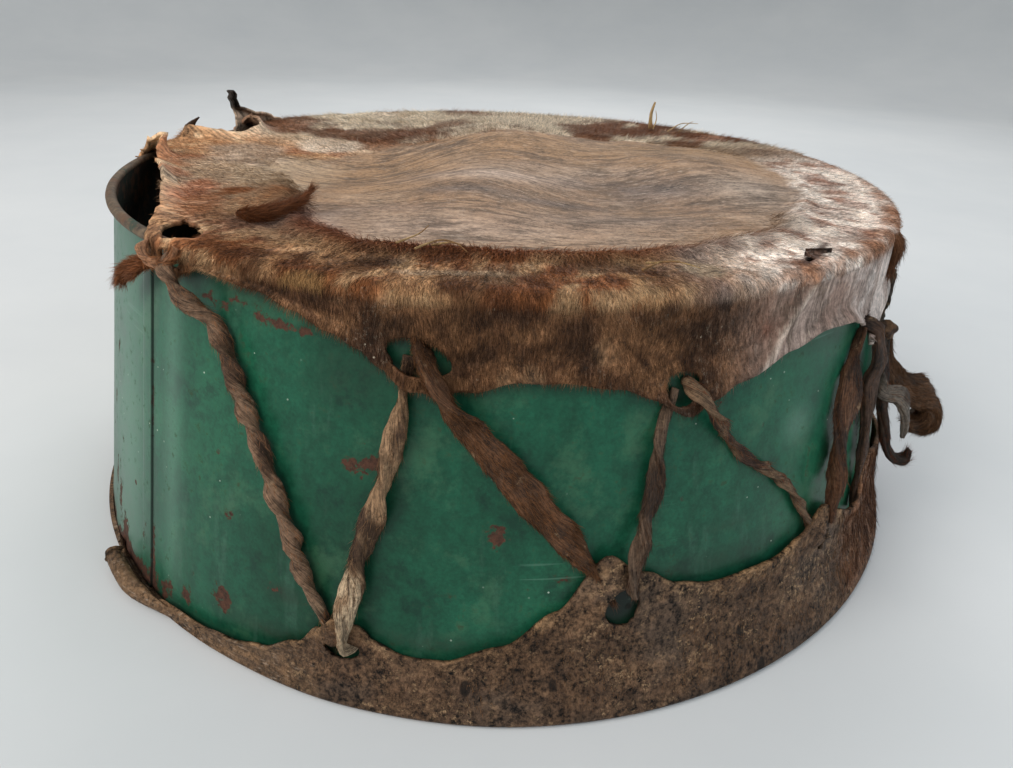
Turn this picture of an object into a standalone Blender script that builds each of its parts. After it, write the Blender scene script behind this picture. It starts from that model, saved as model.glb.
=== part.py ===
"""A laced drum: a tapered sheet-steel tub shell with a cowhide head over each end.

The two heads are scalloped into ears, and rawhide thongs zigzag between slots in the ears.
Metres, +Z up. The origin is the middle of the face that the drum stands on.
Angles are degrees round the drum from the front (-Y), positive towards +X.
"""
import math

import bmesh
import bpy
from mathutils import Vector

# Steel shell
TOP_RADIUS = 0.2388          # outside of the wall at its top edge
BOTTOM_RADIUS = 0.2748       # outside of the wall at its bottom edge
SHELL_HEIGHT = 0.1996
SHEET = 0.0010
BEAD_RADIUS = 0.0030         # outside of the rolled rim, seen in section
BEAD_TURN = 290.0            # how far the rim is rolled, in degrees
BEAD_STEPS = 7
SEAM_ANGLE = -43.0           # the lap where the sheet's ends are joined
SEAM_LAP = 0.0010            # the second thickness, on the inner side
SEAM_WIDTH = 0.012
SEAM_STEPS = (-1.02, -0.90, 0.90, 1.02)  # columns that make the lap's two sides, in half widths
SHELL_COLUMNS = 48
WIRE_SIDES = 8

# Hides
HIDE = 0.0025                # thickness of both heads
FIT = 0.0003                 # gap between pieces that lie on each other
HEAD_COLUMNS = 96
HEAD_RINGS = 6               # from the middle of the upper head to its shoulder
SKIRT_STEPS = (0.15, 0.55, 1.0)
SHOULDER = 0.006             # how far in from the rim a head starts to turn down
LIP_FLARE = 0.0150           # how far the loose lower lip stands off the shell
LIP_ANGLE = -48.5            # middle of the loose lip
LIP_HALF_ANGLE = 7.0
BULGE_HEIGHT = 0.030         # where the lower hide's swell round its base has died away

# Thongs
THONG_END = 0.0033           # radius where a thong goes through its slot
THONG_APART = 0.0018         # gap between two thongs in one slot
SLOT_ROOM = 0.0014           # gap between a thong and the edge of its slot
SLOT_SIDES = 12
SLOT_DEPTH = 0.020           # how far the slots' guides reach to each side of the wall
THONG_REST = 0.0008          # gap under a thong that lies on the shell
THONG_OVER_HIDE = 0.0013     # gap under a thong that crosses an ear
THONG_RISE = 0.0030          # how far a thong comes out of its slot before it turns
THONG_TURN = 0.0015          # how far along its way the turn reaches
THONG_NECK = 0.012           # length of its thin neck
THONG_SWELL = 0.024          # length over which the neck grows to the full radius
THONG_PAST_TIP = 0.007       # how far past an ear's tip it starts to come down to the shell
THONG_FALL = 0.016           # length over which it comes down

# Ears: angle of each slot, with its depth under the rim above and its height below
TOP_EARS = (
    (-38.5, 0.0059), (-8.5, 0.0294), (17.8, 0.0414), (48.6, 0.0404), (73.0, 0.0404), (99.0, 0.0424),
    (127.0, 0.0384), (157.0, 0.0414), (188.0, 0.0394), (218.0, 0.0374),
)
BOTTOM_EARS = (
    (-15.6, 0.0330), (12.3, 0.0610), (39.7, 0.0590), (49.5, 0.0560), (84.0, 0.0560),
    (115.0, 0.0600), (146.0, 0.0570), (177.0, 0.0590), (207.0, 0.0560), (237.0, 0.0520),
)
TOP_EAR_DROP = 0.0115        # ear tip below its slot
BOTTOM_EAR_RISE = 0.0150     # ear tip above its slot
EAR_HALF_ANGLE = 5.0

# The scalloped edges between the ears: angle, with depth under the rim above and height below
TOP_EDGE = (
    (-60.0, 0.0094), (-45.0, 0.0094), (-33.0, 0.0094), (-25.0, 0.0104), (-17.0, 0.0204), (0.0, 0.0354),
    (5.0, 0.0354), (31.0, 0.0344), (38.0, 0.0314), (44.0, 0.0344), (57.0, 0.0424), (60.0, 0.0364),
    (82.0, 0.0324), (112.0, 0.0344), (142.0, 0.0324), (173.0, 0.0334), (203.0, 0.0324),
    (235.0, 0.0244), (255.0, 0.0104), (270.0, 0.0094),
)
BOTTOM_EDGE = (
    (-100.0, 0.0045), (-57.0, 0.0045), (-52.5, 0.0110), (-46.0, 0.0130), (-41.0, 0.0100), (-29.0, 0.0150),
    (-22.0, 0.0250), (-9.0, 0.0330), (-2.0, 0.0360), (5.0, 0.0540), (20.0, 0.0630), (30.0, 0.0620),
    (45.0, 0.0590), (56.0, 0.0740), (68.0, 0.0640), (98.0, 0.0570), (130.0, 0.0580), (161.0, 0.0560),
    (192.0, 0.0570), (222.0, 0.0540), (252.0, 0.0120),
)

# How far the lower hide swells out round its base: angle, distance; none on the bare side
BASE_BULGE = (
    (-100.0, 0.0000), (-56.0, 0.0000), (-44.0, 0.0022), (-30.0, 0.0022), (-14.0, 0.0045), (2.0, 0.0062),
    (30.0, 0.0052), (60.0, 0.0050), (230.0, 0.0050),
)

# Thongs: way, number of the ear, full radius, and points between the slots as angle and share of the
# way down
THONGS = (
    ("down", 0, 0.0046, ((-31.4, 0.14), (-28.6, 0.27), (-24.6, 0.48), (-20.6, 0.74))),
    ("up", 0, 0.0052, ((-10.4, 0.24), (-11.6, 0.41), (-13.8, 0.66))),
    ("down", 1, 0.0072, ((-3.4, 0.24), (2.6, 0.52), (8.2, 0.78))),
    ("up", 1, 0.0044, ((15.4, 0.35), (13.4, 0.63))),
    ("down", 2, 0.0036, ((25.0, 0.34), (32.5, 0.60))),
    ("up", 2, 0.0054, ((44.3, 0.19), (42.6, 0.44), (41.2, 0.65))),
    ("down", 3, 0.0046, ((50.6, 0.35), (49.9, 0.63))),
    ("down", 4, 0.0050, ()), ("up", 4, 0.0056, ()), ("down", 5, 0.0044, ()), ("up", 5, 0.0050, ()),
    ("down", 6, 0.0054, ()), ("up", 6, 0.0046, ()), ("down", 7, 0.0050, ()), ("up", 7, 0.0044, ()),
    ("down", 8, 0.0052, ()), ("up", 8, 0.0048, ()), ("down", 9, 0.0046, ()),
)
THONG_POINTS = 12
CURVE_STEPS = 12

# The knot beside the fourth upper ear, and the loose tails that hang from it: first and full radius,
# and points as angle beside the knot, depth under its middle and distance off the wall
KNOT_ANGLE = 56.6
KNOT_DROP = 0.0520
KNOT_RADIUS = 0.0055
KNOT_LUMPS = 0.12
KNOT_COLUMNS = 14
TAIL_STEPS = 3
TAIL_SWELL = 0.45            # share of a tail over which it grows to its full radius
KNOT_ROWS = 8
TAILS = (
    ("curled_tail", 0.0024, 0.0036, (
        (0.1, 0.0056, 0.0060), (0.6, 0.0160, 0.0056), (1.1, 0.0325, 0.0062), (1.4, 0.0450, 0.0066),
        (1.7, 0.0578, 0.0078), (2.0, 0.0736, 0.0095), (2.6, 0.0820, 0.0142), (3.3, 0.0826, 0.0201),
        (3.4, 0.0768, 0.0223))),
    ("hooked_tail", 0.0024, 0.0044, (
        (-1.35, 0.0028, 0.0060), (-2.1, 0.0150, 0.0052), (-2.4, 0.0222, 0.0058), (-2.6, 0.0287, 0.0074),
        (-2.5, 0.0320, 0.0110), (-1.8, 0.0332, 0.0166), (-1.4, 0.0401, 0.0199), (-1.1, 0.0491, 0.0204),
        (-0.7, 0.0589, 0.0193))),
    ("haired_tail", 0.0026, 0.0068, (
        (1.1, 0.0042, 0.0060), (2.5, 0.0135, 0.0060), (3.5, 0.0251, 0.0068), (4.5, 0.0351, 0.0095),
        (5.9, 0.0412, 0.0150), (7.3, 0.0453, 0.0232), (8.5, 0.0531, 0.0317), (8.5, 0.0636, 0.0326),
        (7.4, 0.0706, 0.0263), (6.0, 0.0705, 0.0196))),
)

# The bare side of the rim, where the upper head is torn: corners of two guides, as angle and distance
# in from the rim
LONG_TEAR = (
    (-50.2, -0.2245), (-42.8, -0.0149), (-43.7, 0.0008), (-47.5, 0.0148), (-52.7, 0.0215),
    (-59.5, 0.0271), (-68.1, 0.0296), (-77.3, 0.0258), (-85.5, 0.0154), (-90.0, 0.0041),
    (-92.6, -0.0182), (-93.2, -0.1165),
)
SHORT_TEAR = (
    (-101.8, -0.1236), (-103.4, -0.0057), (-103.0, 0.0122), (-104.8, 0.0290), (-109.0, 0.0411),
    (-113.3, 0.0416), (-116.6, 0.0294), (-118.2, 0.0115), (-117.8, -0.0091), (-119.1, -0.1677),
)

# The torn ear that stands on the rim at the back left: height over the rim, angle, width, lean
TORN_EAR = ((-0.0010, -121.0, 0.034, 0.000), (0.0070, -120.2, 0.022, 0.001), (0.0140, -118.6, 0.010, 0.002),
            (0.0270, -118.0, 0.004, 0.000))
TORN_EAR_INSET = 0.0060
TEAR_DEPTH = 0.030           # how far the tears' guides reach under and over the rim
TEAR_RISE = 0.060

# Relief of the dried upper head: x, y, height, reach across x, reach across y
RELIEF = (
    (0.005, 0.105, 0.0110, 0.055, 0.090),
    (0.105, -0.020, 0.0050, 0.060, 0.080),
    (-0.100, -0.020, -0.0070, 0.070, 0.075),
    (0.050, -0.120, -0.0030, 0.070, 0.040),
)

BASE = HIDE + FIT            # the shell stands on the lower head
TOP = BASE + SHELL_HEIGHT
BEAD_MEAN = BEAD_RADIUS - SHEET / 2.0
WIRE_RADIUS = BEAD_RADIUS - SHEET - FIT
WALL_TOP = TOP - BEAD_RADIUS
BEAD_CENTRE = TOP_RADIUS - SHEET / 2.0 + BEAD_MEAN
BEAD_OUTER = BEAD_CENTRE + BEAD_RADIUS
RIM_CORNER = BEAD_OUTER + FIT
THONG_SPREAD = THONG_END + THONG_APART / 2.0
SLOT_HALF_WIDTH = THONG_SPREAD + THONG_END + SLOT_ROOM
SLOT_HALF_HEIGHT = THONG_END + SLOT_ROOM
KNOT_HEIGHT = TOP - KNOT_DROP
TOP_SLOTS = [(angle, TOP - depth) for angle, depth in TOP_EARS]


def clear_scene():
    """Remove whatever the open file holds."""
    for item in list(bpy.data.objects):
        bpy.data.objects.remove(item, do_unlink=True)


def wall_radius(height):
    """Outside radius of the steel wall at a height."""
    share = (height - BASE) / SHELL_HEIGHT
    return BOTTOM_RADIUS + (TOP_RADIUS - BOTTOM_RADIUS) * share


def around(angle, radius, height):
    """A point at an angle round the drum."""
    turn = math.radians(angle)
    return Vector((radius * math.sin(turn), -radius * math.cos(turn), height))


def periodic(points, angle):
    """Smooth value at an angle from a ring of (angle, value) points."""
    count = len(points)
    start = points[0][0]
    angle = (angle - start) % 360.0 + start
    for index in range(count):
        low, value_low = points[index]
        high, value_high = points[(index + 1) % count]
        if index == count - 1:
            high += 360.0
        if low <= angle <= high:
            share = (angle - low) / (high - low)
            share = share * share * (3.0 - 2.0 * share)
            return value_low + (value_high - value_low) * share
    return points[-1][1]


def apart(angle, other):
    """Smallest difference between two angles."""
    return abs((angle - other + 180.0) % 360.0 - 180.0)


def material(name, colour, roughness, metallic=0.0):
    """A Principled material of one colour."""
    made = bpy.data.materials.new(name)
    made.use_nodes = True
    shader = made.node_tree.nodes["Principled BSDF"]
    shader.inputs["Base Color"].default_value = (*colour, 1.0)
    shader.inputs["Roughness"].default_value = roughness
    shader.inputs["Metallic"].default_value = metallic
    return made


def add_object(name, mesh, finish):
    """Link a mesh as a named object with its material and smooth shading."""
    mesh.materials.append(finish)
    mesh.shade_smooth()
    mesh.set_sharp_from_angle(angle=math.radians(40.0))
    made = bpy.data.objects.new(name, mesh)
    bpy.context.scene.collection.objects.link(made)
    return made


def mesh_from_rings(name, rings, looped):
    """Skin rings of points; looped joins the last ring to the first, or each end gets one face."""
    shape = bmesh.new()
    rows = [[shape.verts.new(point) for point in ring] for ring in rings]
    count = len(rows[0])
    pairs = list(zip(rows, rows[1:]))
    if looped:
        pairs.append((rows[-1], rows[0]))
    for lower, upper in pairs:
        for index in range(count):
            following = (index + 1) % count
            shape.faces.new((lower[index], lower[following], upper[following], upper[index]))
    if not looped:
        shape.faces.new(rows[0])
        shape.faces.new(list(reversed(rows[-1])))
    bmesh.ops.recalc_face_normals(shape, faces=shape.faces)
    mesh = bpy.data.meshes.new(name)
    shape.to_mesh(mesh)
    shape.free()
    return mesh


def shell_section():
    """Middle line of the sheet from the bottom edge up and round the rolled rim: radius, height."""
    line = [(BOTTOM_RADIUS - SHEET / 2.0, BASE), (TOP_RADIUS - SHEET / 2.0, WALL_TOP)]
    for step in range(1, BEAD_STEPS + 1):
        turn = math.radians(180.0 - BEAD_TURN * step / BEAD_STEPS)
        line.append((BEAD_CENTRE + BEAD_MEAN * math.cos(turn), WALL_TOP + BEAD_MEAN * math.sin(turn)))
    return line


def section_sides(line):
    """Offset a middle line by half the sheet to each side."""
    left = []
    right = []
    for index, (radius, height) in enumerate(line):
        before = line[max(index - 1, 0)]
        after = line[min(index + 1, len(line) - 1)]
        along = Vector((after[0] - before[0], after[1] - before[1])).normalized()
        side = Vector((-along.y, along.x)) * (SHEET / 2.0)
        left.append((radius + side.x, height + side.y))
        right.append((radius - side.x, height - side.y))
    return left, right


def steel_angles():
    """Columns of the shell and its wire: even ones, and two at each side of the seam."""
    half_seam = math.degrees(SEAM_WIDTH / 2.0 / TOP_RADIUS)
    angles = [360.0 * step / SHELL_COLUMNS for step in range(SHELL_COLUMNS)]
    for offset in SEAM_STEPS:
        angles.append((SEAM_ANGLE + half_seam * offset) % 360.0)
    return sorted(angles), half_seam


def build_shell(finish):
    """The tapered wall with its rolled rim and the inner lap of its seam."""
    inner, outer = section_sides(shell_section())
    profile = [(point, False) for point in outer] + [(point, True) for point in reversed(inner)]
    angles, half_seam = steel_angles()
    wall_limit = BEAD_CENTRE - BEAD_MEAN + BOTTOM_RADIUS - TOP_RADIUS
    rings = []
    for (radius, height), inside in profile:
        on_wall = inside and height <= WALL_TOP + FIT and radius < wall_limit
        ring = []
        for angle in angles:
            lap = SEAM_LAP if on_wall and apart(angle, SEAM_ANGLE) < half_seam * 0.95 else 0.0
            ring.append(around(angle, radius - lap, height))
        rings.append(ring)
    return add_object("shell", mesh_from_rings("shell", rings, True), finish)


def build_rim_wire(finish):
    """The round wire that the rim is rolled over."""
    angles, _ = steel_angles()
    rings = []
    for side in range(WIRE_SIDES):
        turn = 2.0 * math.pi * side / WIRE_SIDES
        radius = BEAD_CENTRE + WIRE_RADIUS * math.cos(turn)
        height = WALL_TOP + WIRE_RADIUS * math.sin(turn)
        rings.append([around(angle, radius, height) for angle in angles])
    return add_object("rim_wire", mesh_from_rings("rim_wire", rings, True), finish)


def ear_shape(angle, ears, height, reach):
    """Pull an edge height towards the tip of an ear near this angle."""
    for ear_angle, slot_height in ears:
        away = apart(angle, ear_angle) / EAR_HALF_ANGLE
        if away < 2.0:
            weight = math.exp(-away * away * 1.1)
            height += (slot_height + reach - height) * weight
    return height


def relief(x, y):
    """Height of the dried skin's waves over the flat of the rim."""
    fade = max(0.0, 1.0 - (math.hypot(x, y) / TOP_RADIUS) ** 6)
    total = 0.0
    for centre_x, centre_y, height, reach_x, reach_y in RELIEF:
        total += height * math.exp(-((x - centre_x) / reach_x) ** 2 - ((y - centre_y) / reach_y) ** 2)
    return total * fade


def skirt_radius(height):
    """Inner radius of a skirt that hangs off the rim and lies on the wall below."""
    return max(BEAD_OUTER, wall_radius(height)) + FIT


def upper_rings(outward):
    """Rings of one side of the upper head, middle first; outward is 0 inside or the hide's thickness."""
    level = TOP + FIT + outward
    rings = []
    angles = [360.0 * step / HEAD_COLUMNS for step in range(HEAD_COLUMNS)]
    for step in range(1, HEAD_RINGS + 1):
        radius = (RIM_CORNER - SHOULDER) * step / HEAD_RINGS
        ring = []
        for angle in angles:
            point = around(angle, radius, level)
            point.z += relief(point.x, point.y)
            ring.append(point)
        rings.append(ring)
    round_off = outward * 0.7 + FIT
    rings.append([around(angle, RIM_CORNER + round_off - FIT, level - outward * 0.3) for angle in angles])
    for share in SKIRT_STEPS:
        ring = []
        for angle in angles:
            edge = ear_shape(angle, TOP_SLOTS, TOP - periodic(TOP_EDGE, angle), -TOP_EAR_DROP)
            height = TOP + (edge - TOP) * share
            ring.append(around(angle, skirt_radius(height) + outward, height))
        rings.append(ring)
    return rings


def lip_flare(angle):
    """How far the lower skirt's edge stands off at an angle, on the unlaced side."""
    away = apart(angle, LIP_ANGLE) / LIP_HALF_ANGLE
    return LIP_FLARE * max(0.0, 1.0 - away * away)


def base_bulge(angle, height):
    """How far the lower hide stands out beyond the wall's line at an angle and a height."""
    share = max(0.0, 1.0 - height / BULGE_HEIGHT)
    return periodic(BASE_BULGE, angle) * share


def lower_rings(outward):
    """Rings of one side of the lower head, middle first; outward is 0 inside or the hide's thickness."""
    rings = []
    angles = [360.0 * step / HEAD_COLUMNS for step in range(HEAD_COLUMNS)]
    inner_level = HIDE - outward
    corner = BOTTOM_RADIUS + FIT
    rings.append([around(angle, corner - SHOULDER * 2.0, inner_level) for angle in angles])
    ring = []
    for angle in angles:
        turn_out = corner + base_bulge(angle, HIDE) * 0.6 + outward * 0.6
        ring.append(around(angle, turn_out, inner_level + outward * 0.4))
    rings.append(ring)
    for share in SKIRT_STEPS:
        ring = []
        for angle in angles:
            edge = ear_shape(angle, BOTTOM_EARS, periodic(BOTTOM_EDGE, angle), BOTTOM_EAR_RISE)
            height = HIDE + (edge - HIDE) * share
            radius = wall_radius(max(height, BASE)) + FIT + outward + base_bulge(angle, height)
            radius += lip_flare(angle) * share ** 2
            ring.append(around(angle, radius, height))
        rings.append(ring)
    return rings


def slot_guide(name, ears):
    """One mesh of upright oval pegs, one through each ear."""
    shape = bmesh.new()
    for angle, height in ears:
        inner = []
        outer = []
        middle = wall_radius(height)
        turn = math.radians(angle)
        across = Vector((math.cos(turn), math.sin(turn), 0.0))
        outwards = Vector((math.sin(turn), -math.cos(turn), 0.0))
        for side in range(SLOT_SIDES):
            phase = 2.0 * math.pi * side / SLOT_SIDES
            upright = Vector((0.0, 0.0, height + SLOT_HALF_HEIGHT * math.sin(phase)))
            centre = outwards * middle + upright + across * (SLOT_HALF_WIDTH * math.cos(phase))
            inner.append(shape.verts.new(centre - outwards * SLOT_DEPTH))
            outer.append(shape.verts.new(centre + outwards * SLOT_DEPTH))
        for side in range(SLOT_SIDES):
            following = (side + 1) % SLOT_SIDES
            shape.faces.new((inner[side], inner[following], outer[following], outer[side]))
        shape.faces.new(inner)
        shape.faces.new(list(reversed(outer)))
    bmesh.ops.recalc_face_normals(shape, faces=shape.faces)
    mesh = bpy.data.meshes.new(name)
    shape.to_mesh(mesh)
    shape.free()
    return guide_object(name, mesh)


def guide_object(name, mesh):
    """A shape that is only cut out of a head or joined to it."""
    made = bpy.data.objects.new(name, mesh)
    made.hide_render = True
    made.display_type = "WIRE"
    bpy.context.scene.collection.objects.link(made)
    return made


def tear_guide(name, outline):
    """An upright block over a bare stretch of the rim, bounded by the head's torn edge."""
    rings = []
    for level in (TOP - TEAR_DEPTH, TOP + TEAR_RISE):
        rings.append([around(angle, RIM_CORNER - inset, level) for angle, inset in outline])
    return guide_object(name, mesh_from_rings(name, rings, False))


def torn_ear_guide():
    """The scrap of hide that stands on the rim, from a wide foot to a thin tip."""
    foot_radius = RIM_CORNER - TORN_EAR_INSET
    rings = []
    for height, angle, width, lean in TORN_EAR:
        half_angle = math.degrees(width / 2.0 / foot_radius)
        ring = []
        for side, depth in ((-1, 0), (1, 0), (1, 1), (-1, 1)):
            radius = foot_radius + lean + HIDE * depth
            ring.append(around(angle + side * half_angle, radius, TOP + FIT + HIDE + height))
        rings.append(ring)
    return guide_object("torn_ear_guide", mesh_from_rings("torn_ear_guide", rings, False))


def combine(target, guide, operation):
    """Cut a guide out of an object, or join it on."""
    step = target.modifiers.new(guide.name, "BOOLEAN")
    step.operation = operation
    step.solver = "EXACT"
    step.object = guide


def build_upper_head(finish):
    """The upper cowhide: waved top, turned edge, scalloped skirt with slotted ears."""
    rings = upper_rings(HIDE) + list(reversed(upper_rings(0.0)))
    head = add_object("upper_head", mesh_from_rings("upper_head", rings, False), finish)
    combine(head, slot_guide("upper_slot_guide", TOP_SLOTS), "DIFFERENCE")
    combine(head, tear_guide("long_tear_guide", LONG_TEAR), "DIFFERENCE")
    combine(head, tear_guide("short_tear_guide", SHORT_TEAR), "DIFFERENCE")
    combine(head, torn_ear_guide(), "UNION")
    return head


def build_lower_head(finish):
    """The lower cowhide, on which the drum stands, with its scalloped skirt turned up."""
    rings = lower_rings(HIDE) + list(reversed(lower_rings(0.0)))
    head = add_object("lower_head", mesh_from_rings("lower_head", rings, False), finish)
    combine(head, slot_guide("lower_slot_guide", BOTTOM_EARS), "DIFFERENCE")
    return head


def surface_point(angle, height, lift):
    """A point at a distance off the steel wall."""
    return around(angle, wall_radius(height) + lift, height)


def wall_distance(before, after):
    """Distance over the wall between two points given as angle and height."""
    return math.hypot(math.radians(after[0] - before[0]) * BOTTOM_RADIUS, after[1] - before[1])


def tail_distance(before, after):
    """Distance between two points given as angle, depth and distance off the wall."""
    return math.hypot(wall_distance(before, after), after[2] - before[2])


def curve_value(before, start, end, after, share):
    """A Catmull-Rom curve's value at a share of the way from start to end."""
    slope = (end - before) * share
    bend = (2.0 * before - 5.0 * start + 4.0 * end - after) * share ** 2
    twist = (3.0 * start - before - 3.0 * end + after) * share ** 3
    return start + 0.5 * (slope + bend + twist)


def smooth_route(points, count, distance=wall_distance):
    """Even samples of a smooth curve through rows of numbers."""
    padded = [points[0]] + list(points) + [points[-1]]
    fine = []
    for index in range(1, len(padded) - 2):
        rows = list(zip(*padded[index - 1:index + 3]))
        for step in range(CURVE_STEPS):
            fine.append(tuple(curve_value(*row, step / CURVE_STEPS) for row in rows))
    fine.append(tuple(points[-1]))
    lengths = [0.0]
    for before, after in zip(fine, fine[1:]):
        lengths.append(lengths[-1] + distance(before, after))
    samples = []
    position = 0
    for number in range(count):
        wanted = lengths[-1] * number / (count - 1)
        while position < len(lengths) - 2 and lengths[position + 1] < wanted:
            position += 1
        span = max(lengths[position + 1] - lengths[position], 1e-9)
        share = min(1.0, (wanted - lengths[position]) / span)
        samples.append(tuple(u + (v - u) * share for u, v in zip(fine[position], fine[position + 1])))
    return samples


def tube(name, points, radii, finish):
    """A thong: a round tube through points, with filled ends."""
    curve = bpy.data.curves.new(name, "CURVE")
    curve.dimensions = "3D"
    curve.bevel_depth = 1.0
    curve.bevel_resolution = 2
    curve.use_fill_caps = True
    spline = curve.splines.new("POLY")
    spline.points.add(len(points) - 1)
    for knot, point, radius in zip(spline.points, points, radii):
        knot.co = (*point, 1.0)
        knot.radius = radius
    curve.materials.append(finish)
    made = bpy.data.objects.new(name, curve)
    bpy.context.scene.collection.objects.link(made)
    return made


def thong_route(kind, index, between):
    """A thong's way over the wall, as angles and heights from the top slot to the bottom one."""
    top_angle, top_height = TOP_SLOTS[index if kind == "down" else index + 1]
    low_angle, low_height = BOTTOM_EARS[index]
    side = 1.0 if kind == "down" else -1.0
    start = (top_angle + side * math.degrees(THONG_SPREAD / wall_radius(top_height)), top_height)
    end = (low_angle - side * math.degrees(THONG_SPREAD / wall_radius(low_height)), low_height)
    middle = [(angle, top_height + (low_height - top_height) * share) for angle, share in between]
    return smooth_route([start] + middle + [end], THONG_POINTS)


def shortened(flat, length):
    """Pull both ends of a route in by the turn that the thong makes at its slots."""
    share = THONG_TURN / (length / (THONG_POINTS - 1))
    first = tuple(value + (other - value) * share for value, other in zip(flat[0], flat[1]))
    last = tuple(value + (other - value) * share for value, other in zip(flat[-1], flat[-2]))
    return [first] + flat[1:-1] + [last]


def build_thong(number, kind, index, radius, between, finish):
    """One span from an upper slot to a lower slot, turned in through both."""
    flat = thong_route(kind, index, between)
    start = flat[0]
    end = flat[-1]
    length = sum(wall_distance(before, after) for before, after in zip(flat, flat[1:]))
    under_upper = skirt_radius(start[1]) - wall_radius(start[1])
    over_upper = under_upper + HIDE
    over_lower = FIT + HIDE + base_bulge(*end)
    points = []
    radii = []
    for lift in (under_upper - FIT + THONG_REST, over_upper + THONG_OVER_HIDE + THONG_END - THONG_RISE):
        points.append(surface_point(*start, lift))
        radii.append(THONG_END)
    for step, (angle, height) in enumerate(shortened(flat, length)):
        from_top = length * step / (THONG_POINTS - 1)
        from_low = length - from_top
        grown = 1.0 - smooth_fall(min(from_top, from_low), THONG_NECK, THONG_NECK + THONG_SWELL)
        leaves_top = TOP_EAR_DROP + THONG_PAST_TIP
        leaves_low = BOTTOM_EAR_RISE + THONG_PAST_TIP
        over_top = smooth_fall(from_top, leaves_top, leaves_top + THONG_FALL)
        over_low = smooth_fall(from_low, leaves_low, leaves_low + THONG_FALL)
        under = THONG_REST
        under += (over_upper + THONG_OVER_HIDE - THONG_REST) * over_top
        under += (over_lower + THONG_OVER_HIDE - THONG_REST) * over_low
        here = THONG_END + (radius - THONG_END) * grown
        points.append(surface_point(angle, height, under + here))
        radii.append(here)
    for lift in (over_lower + THONG_OVER_HIDE + THONG_END - THONG_RISE, THONG_REST):
        points.append(surface_point(*end, lift))
        radii.append(THONG_END)
    return tube("thong_%02d" % number, points, radii, finish)


def build_knot(finish):
    """The lumpy knot that the loose tails hang from, against the shell under the upper head."""
    centre = surface_point(KNOT_ANGLE, KNOT_HEIGHT, 0.0)
    rings = []
    for row in range(1, KNOT_ROWS):
        polar = math.pi * row / KNOT_ROWS
        ring = []
        for column in range(KNOT_COLUMNS):
            turn = 2.0 * math.pi * column / KNOT_COLUMNS
            radius = KNOT_RADIUS * (1.0 + KNOT_LUMPS * math.sin(3.0 * turn + 2.0 * polar))
            flat = radius * math.sin(polar)
            level = KNOT_RADIUS * math.cos(polar)
            offset = Vector((flat * math.cos(turn), flat * math.sin(turn), level))
            ring.append(centre + offset)
        rings.append(ring)
    sunk = max(wall_radius(point.z) - math.hypot(point.x, point.y) for ring in rings for point in ring)
    facet_gap = wall_radius(KNOT_HEIGHT) * (1.0 - math.cos(math.pi / SHELL_COLUMNS))
    off_wall = around(KNOT_ANGLE, sunk + FIT - facet_gap, 0.0)
    rings = [[point + off_wall for point in ring] for ring in rings]
    return add_object("knot", mesh_from_rings("knot", rings, False), finish)


def build_tail(name, start_radius, full_radius, route, finish):
    """A stiff loose end of a thong that hangs from the knot."""
    count = TAIL_STEPS * (len(route) - 1) + 1
    points = []
    radii = []
    for number, (aside, depth, lift) in enumerate(smooth_route(route, count, tail_distance)):
        grown = min(1.0, number / (count * TAIL_SWELL))
        points.append(surface_point(KNOT_ANGLE + aside, KNOT_HEIGHT - depth, lift))
        radii.append(start_radius + (full_radius - start_radius) * grown)
    return tube(name, points, radii, finish)


def smooth_fall(distance, start, end):
    """1 before start, 0 after end, eased between."""
    share = min(1.0, max(0.0, (distance - start) / (end - start)))
    return 1.0 - share * share * (3.0 - 2.0 * share)


def main():
    """Build every piece."""
    clear_scene()
    paint = material("worn_green_paint", (0.055, 0.190, 0.120), 0.42)
    steel = material("rusty_wire", (0.150, 0.080, 0.050), 0.75, 0.6)
    hide_top = material("haired_cowhide", (0.230, 0.140, 0.095), 0.80)
    hide_low = material("dark_cowhide", (0.120, 0.070, 0.050), 0.78)
    thong = material("rawhide_thong", (0.200, 0.130, 0.090), 0.80)
    build_shell(paint)
    build_rim_wire(steel)
    build_upper_head(hide_top)
    build_lower_head(hide_low)
    for number, (kind, index, radius, between) in enumerate(THONGS, start=1):
        build_thong(number, kind, index, radius, between, thong)
    build_knot(thong)
    for name, start_radius, full_radius, route in TAILS:
        build_tail(name, start_radius, full_radius, route, thong)


main()
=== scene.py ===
"""Looks of a laced drum: a green tub shell with a haired cowhide laced over each end.

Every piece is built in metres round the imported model's axis, +Z up. Angles are degrees round the drum
from the front (-Y), positive towards +X.
"""
import itertools
import logging
import math
from dataclasses import dataclass, replace
from enum import Enum

import bmesh
import bpy
import numpy as np
from mathutils import Matrix, Vector


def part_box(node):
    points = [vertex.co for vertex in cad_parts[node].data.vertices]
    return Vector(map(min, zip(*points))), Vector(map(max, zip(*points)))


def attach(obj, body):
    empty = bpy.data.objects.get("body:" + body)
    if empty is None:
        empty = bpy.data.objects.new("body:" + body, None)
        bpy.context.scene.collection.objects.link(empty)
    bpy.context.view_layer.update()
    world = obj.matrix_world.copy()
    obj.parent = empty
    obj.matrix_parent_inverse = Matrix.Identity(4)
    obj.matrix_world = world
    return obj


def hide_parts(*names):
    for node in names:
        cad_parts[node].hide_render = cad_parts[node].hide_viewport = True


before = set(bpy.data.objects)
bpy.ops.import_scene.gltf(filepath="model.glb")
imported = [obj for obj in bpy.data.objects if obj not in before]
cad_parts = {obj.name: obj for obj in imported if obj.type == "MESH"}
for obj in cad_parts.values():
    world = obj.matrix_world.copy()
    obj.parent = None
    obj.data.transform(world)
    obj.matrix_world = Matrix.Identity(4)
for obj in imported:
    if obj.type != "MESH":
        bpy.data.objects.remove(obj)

LOG = logging.getLogger("drum")
BODY = "root"
Colour = tuple[float, float, float]
Point = tuple[float, float]


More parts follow.
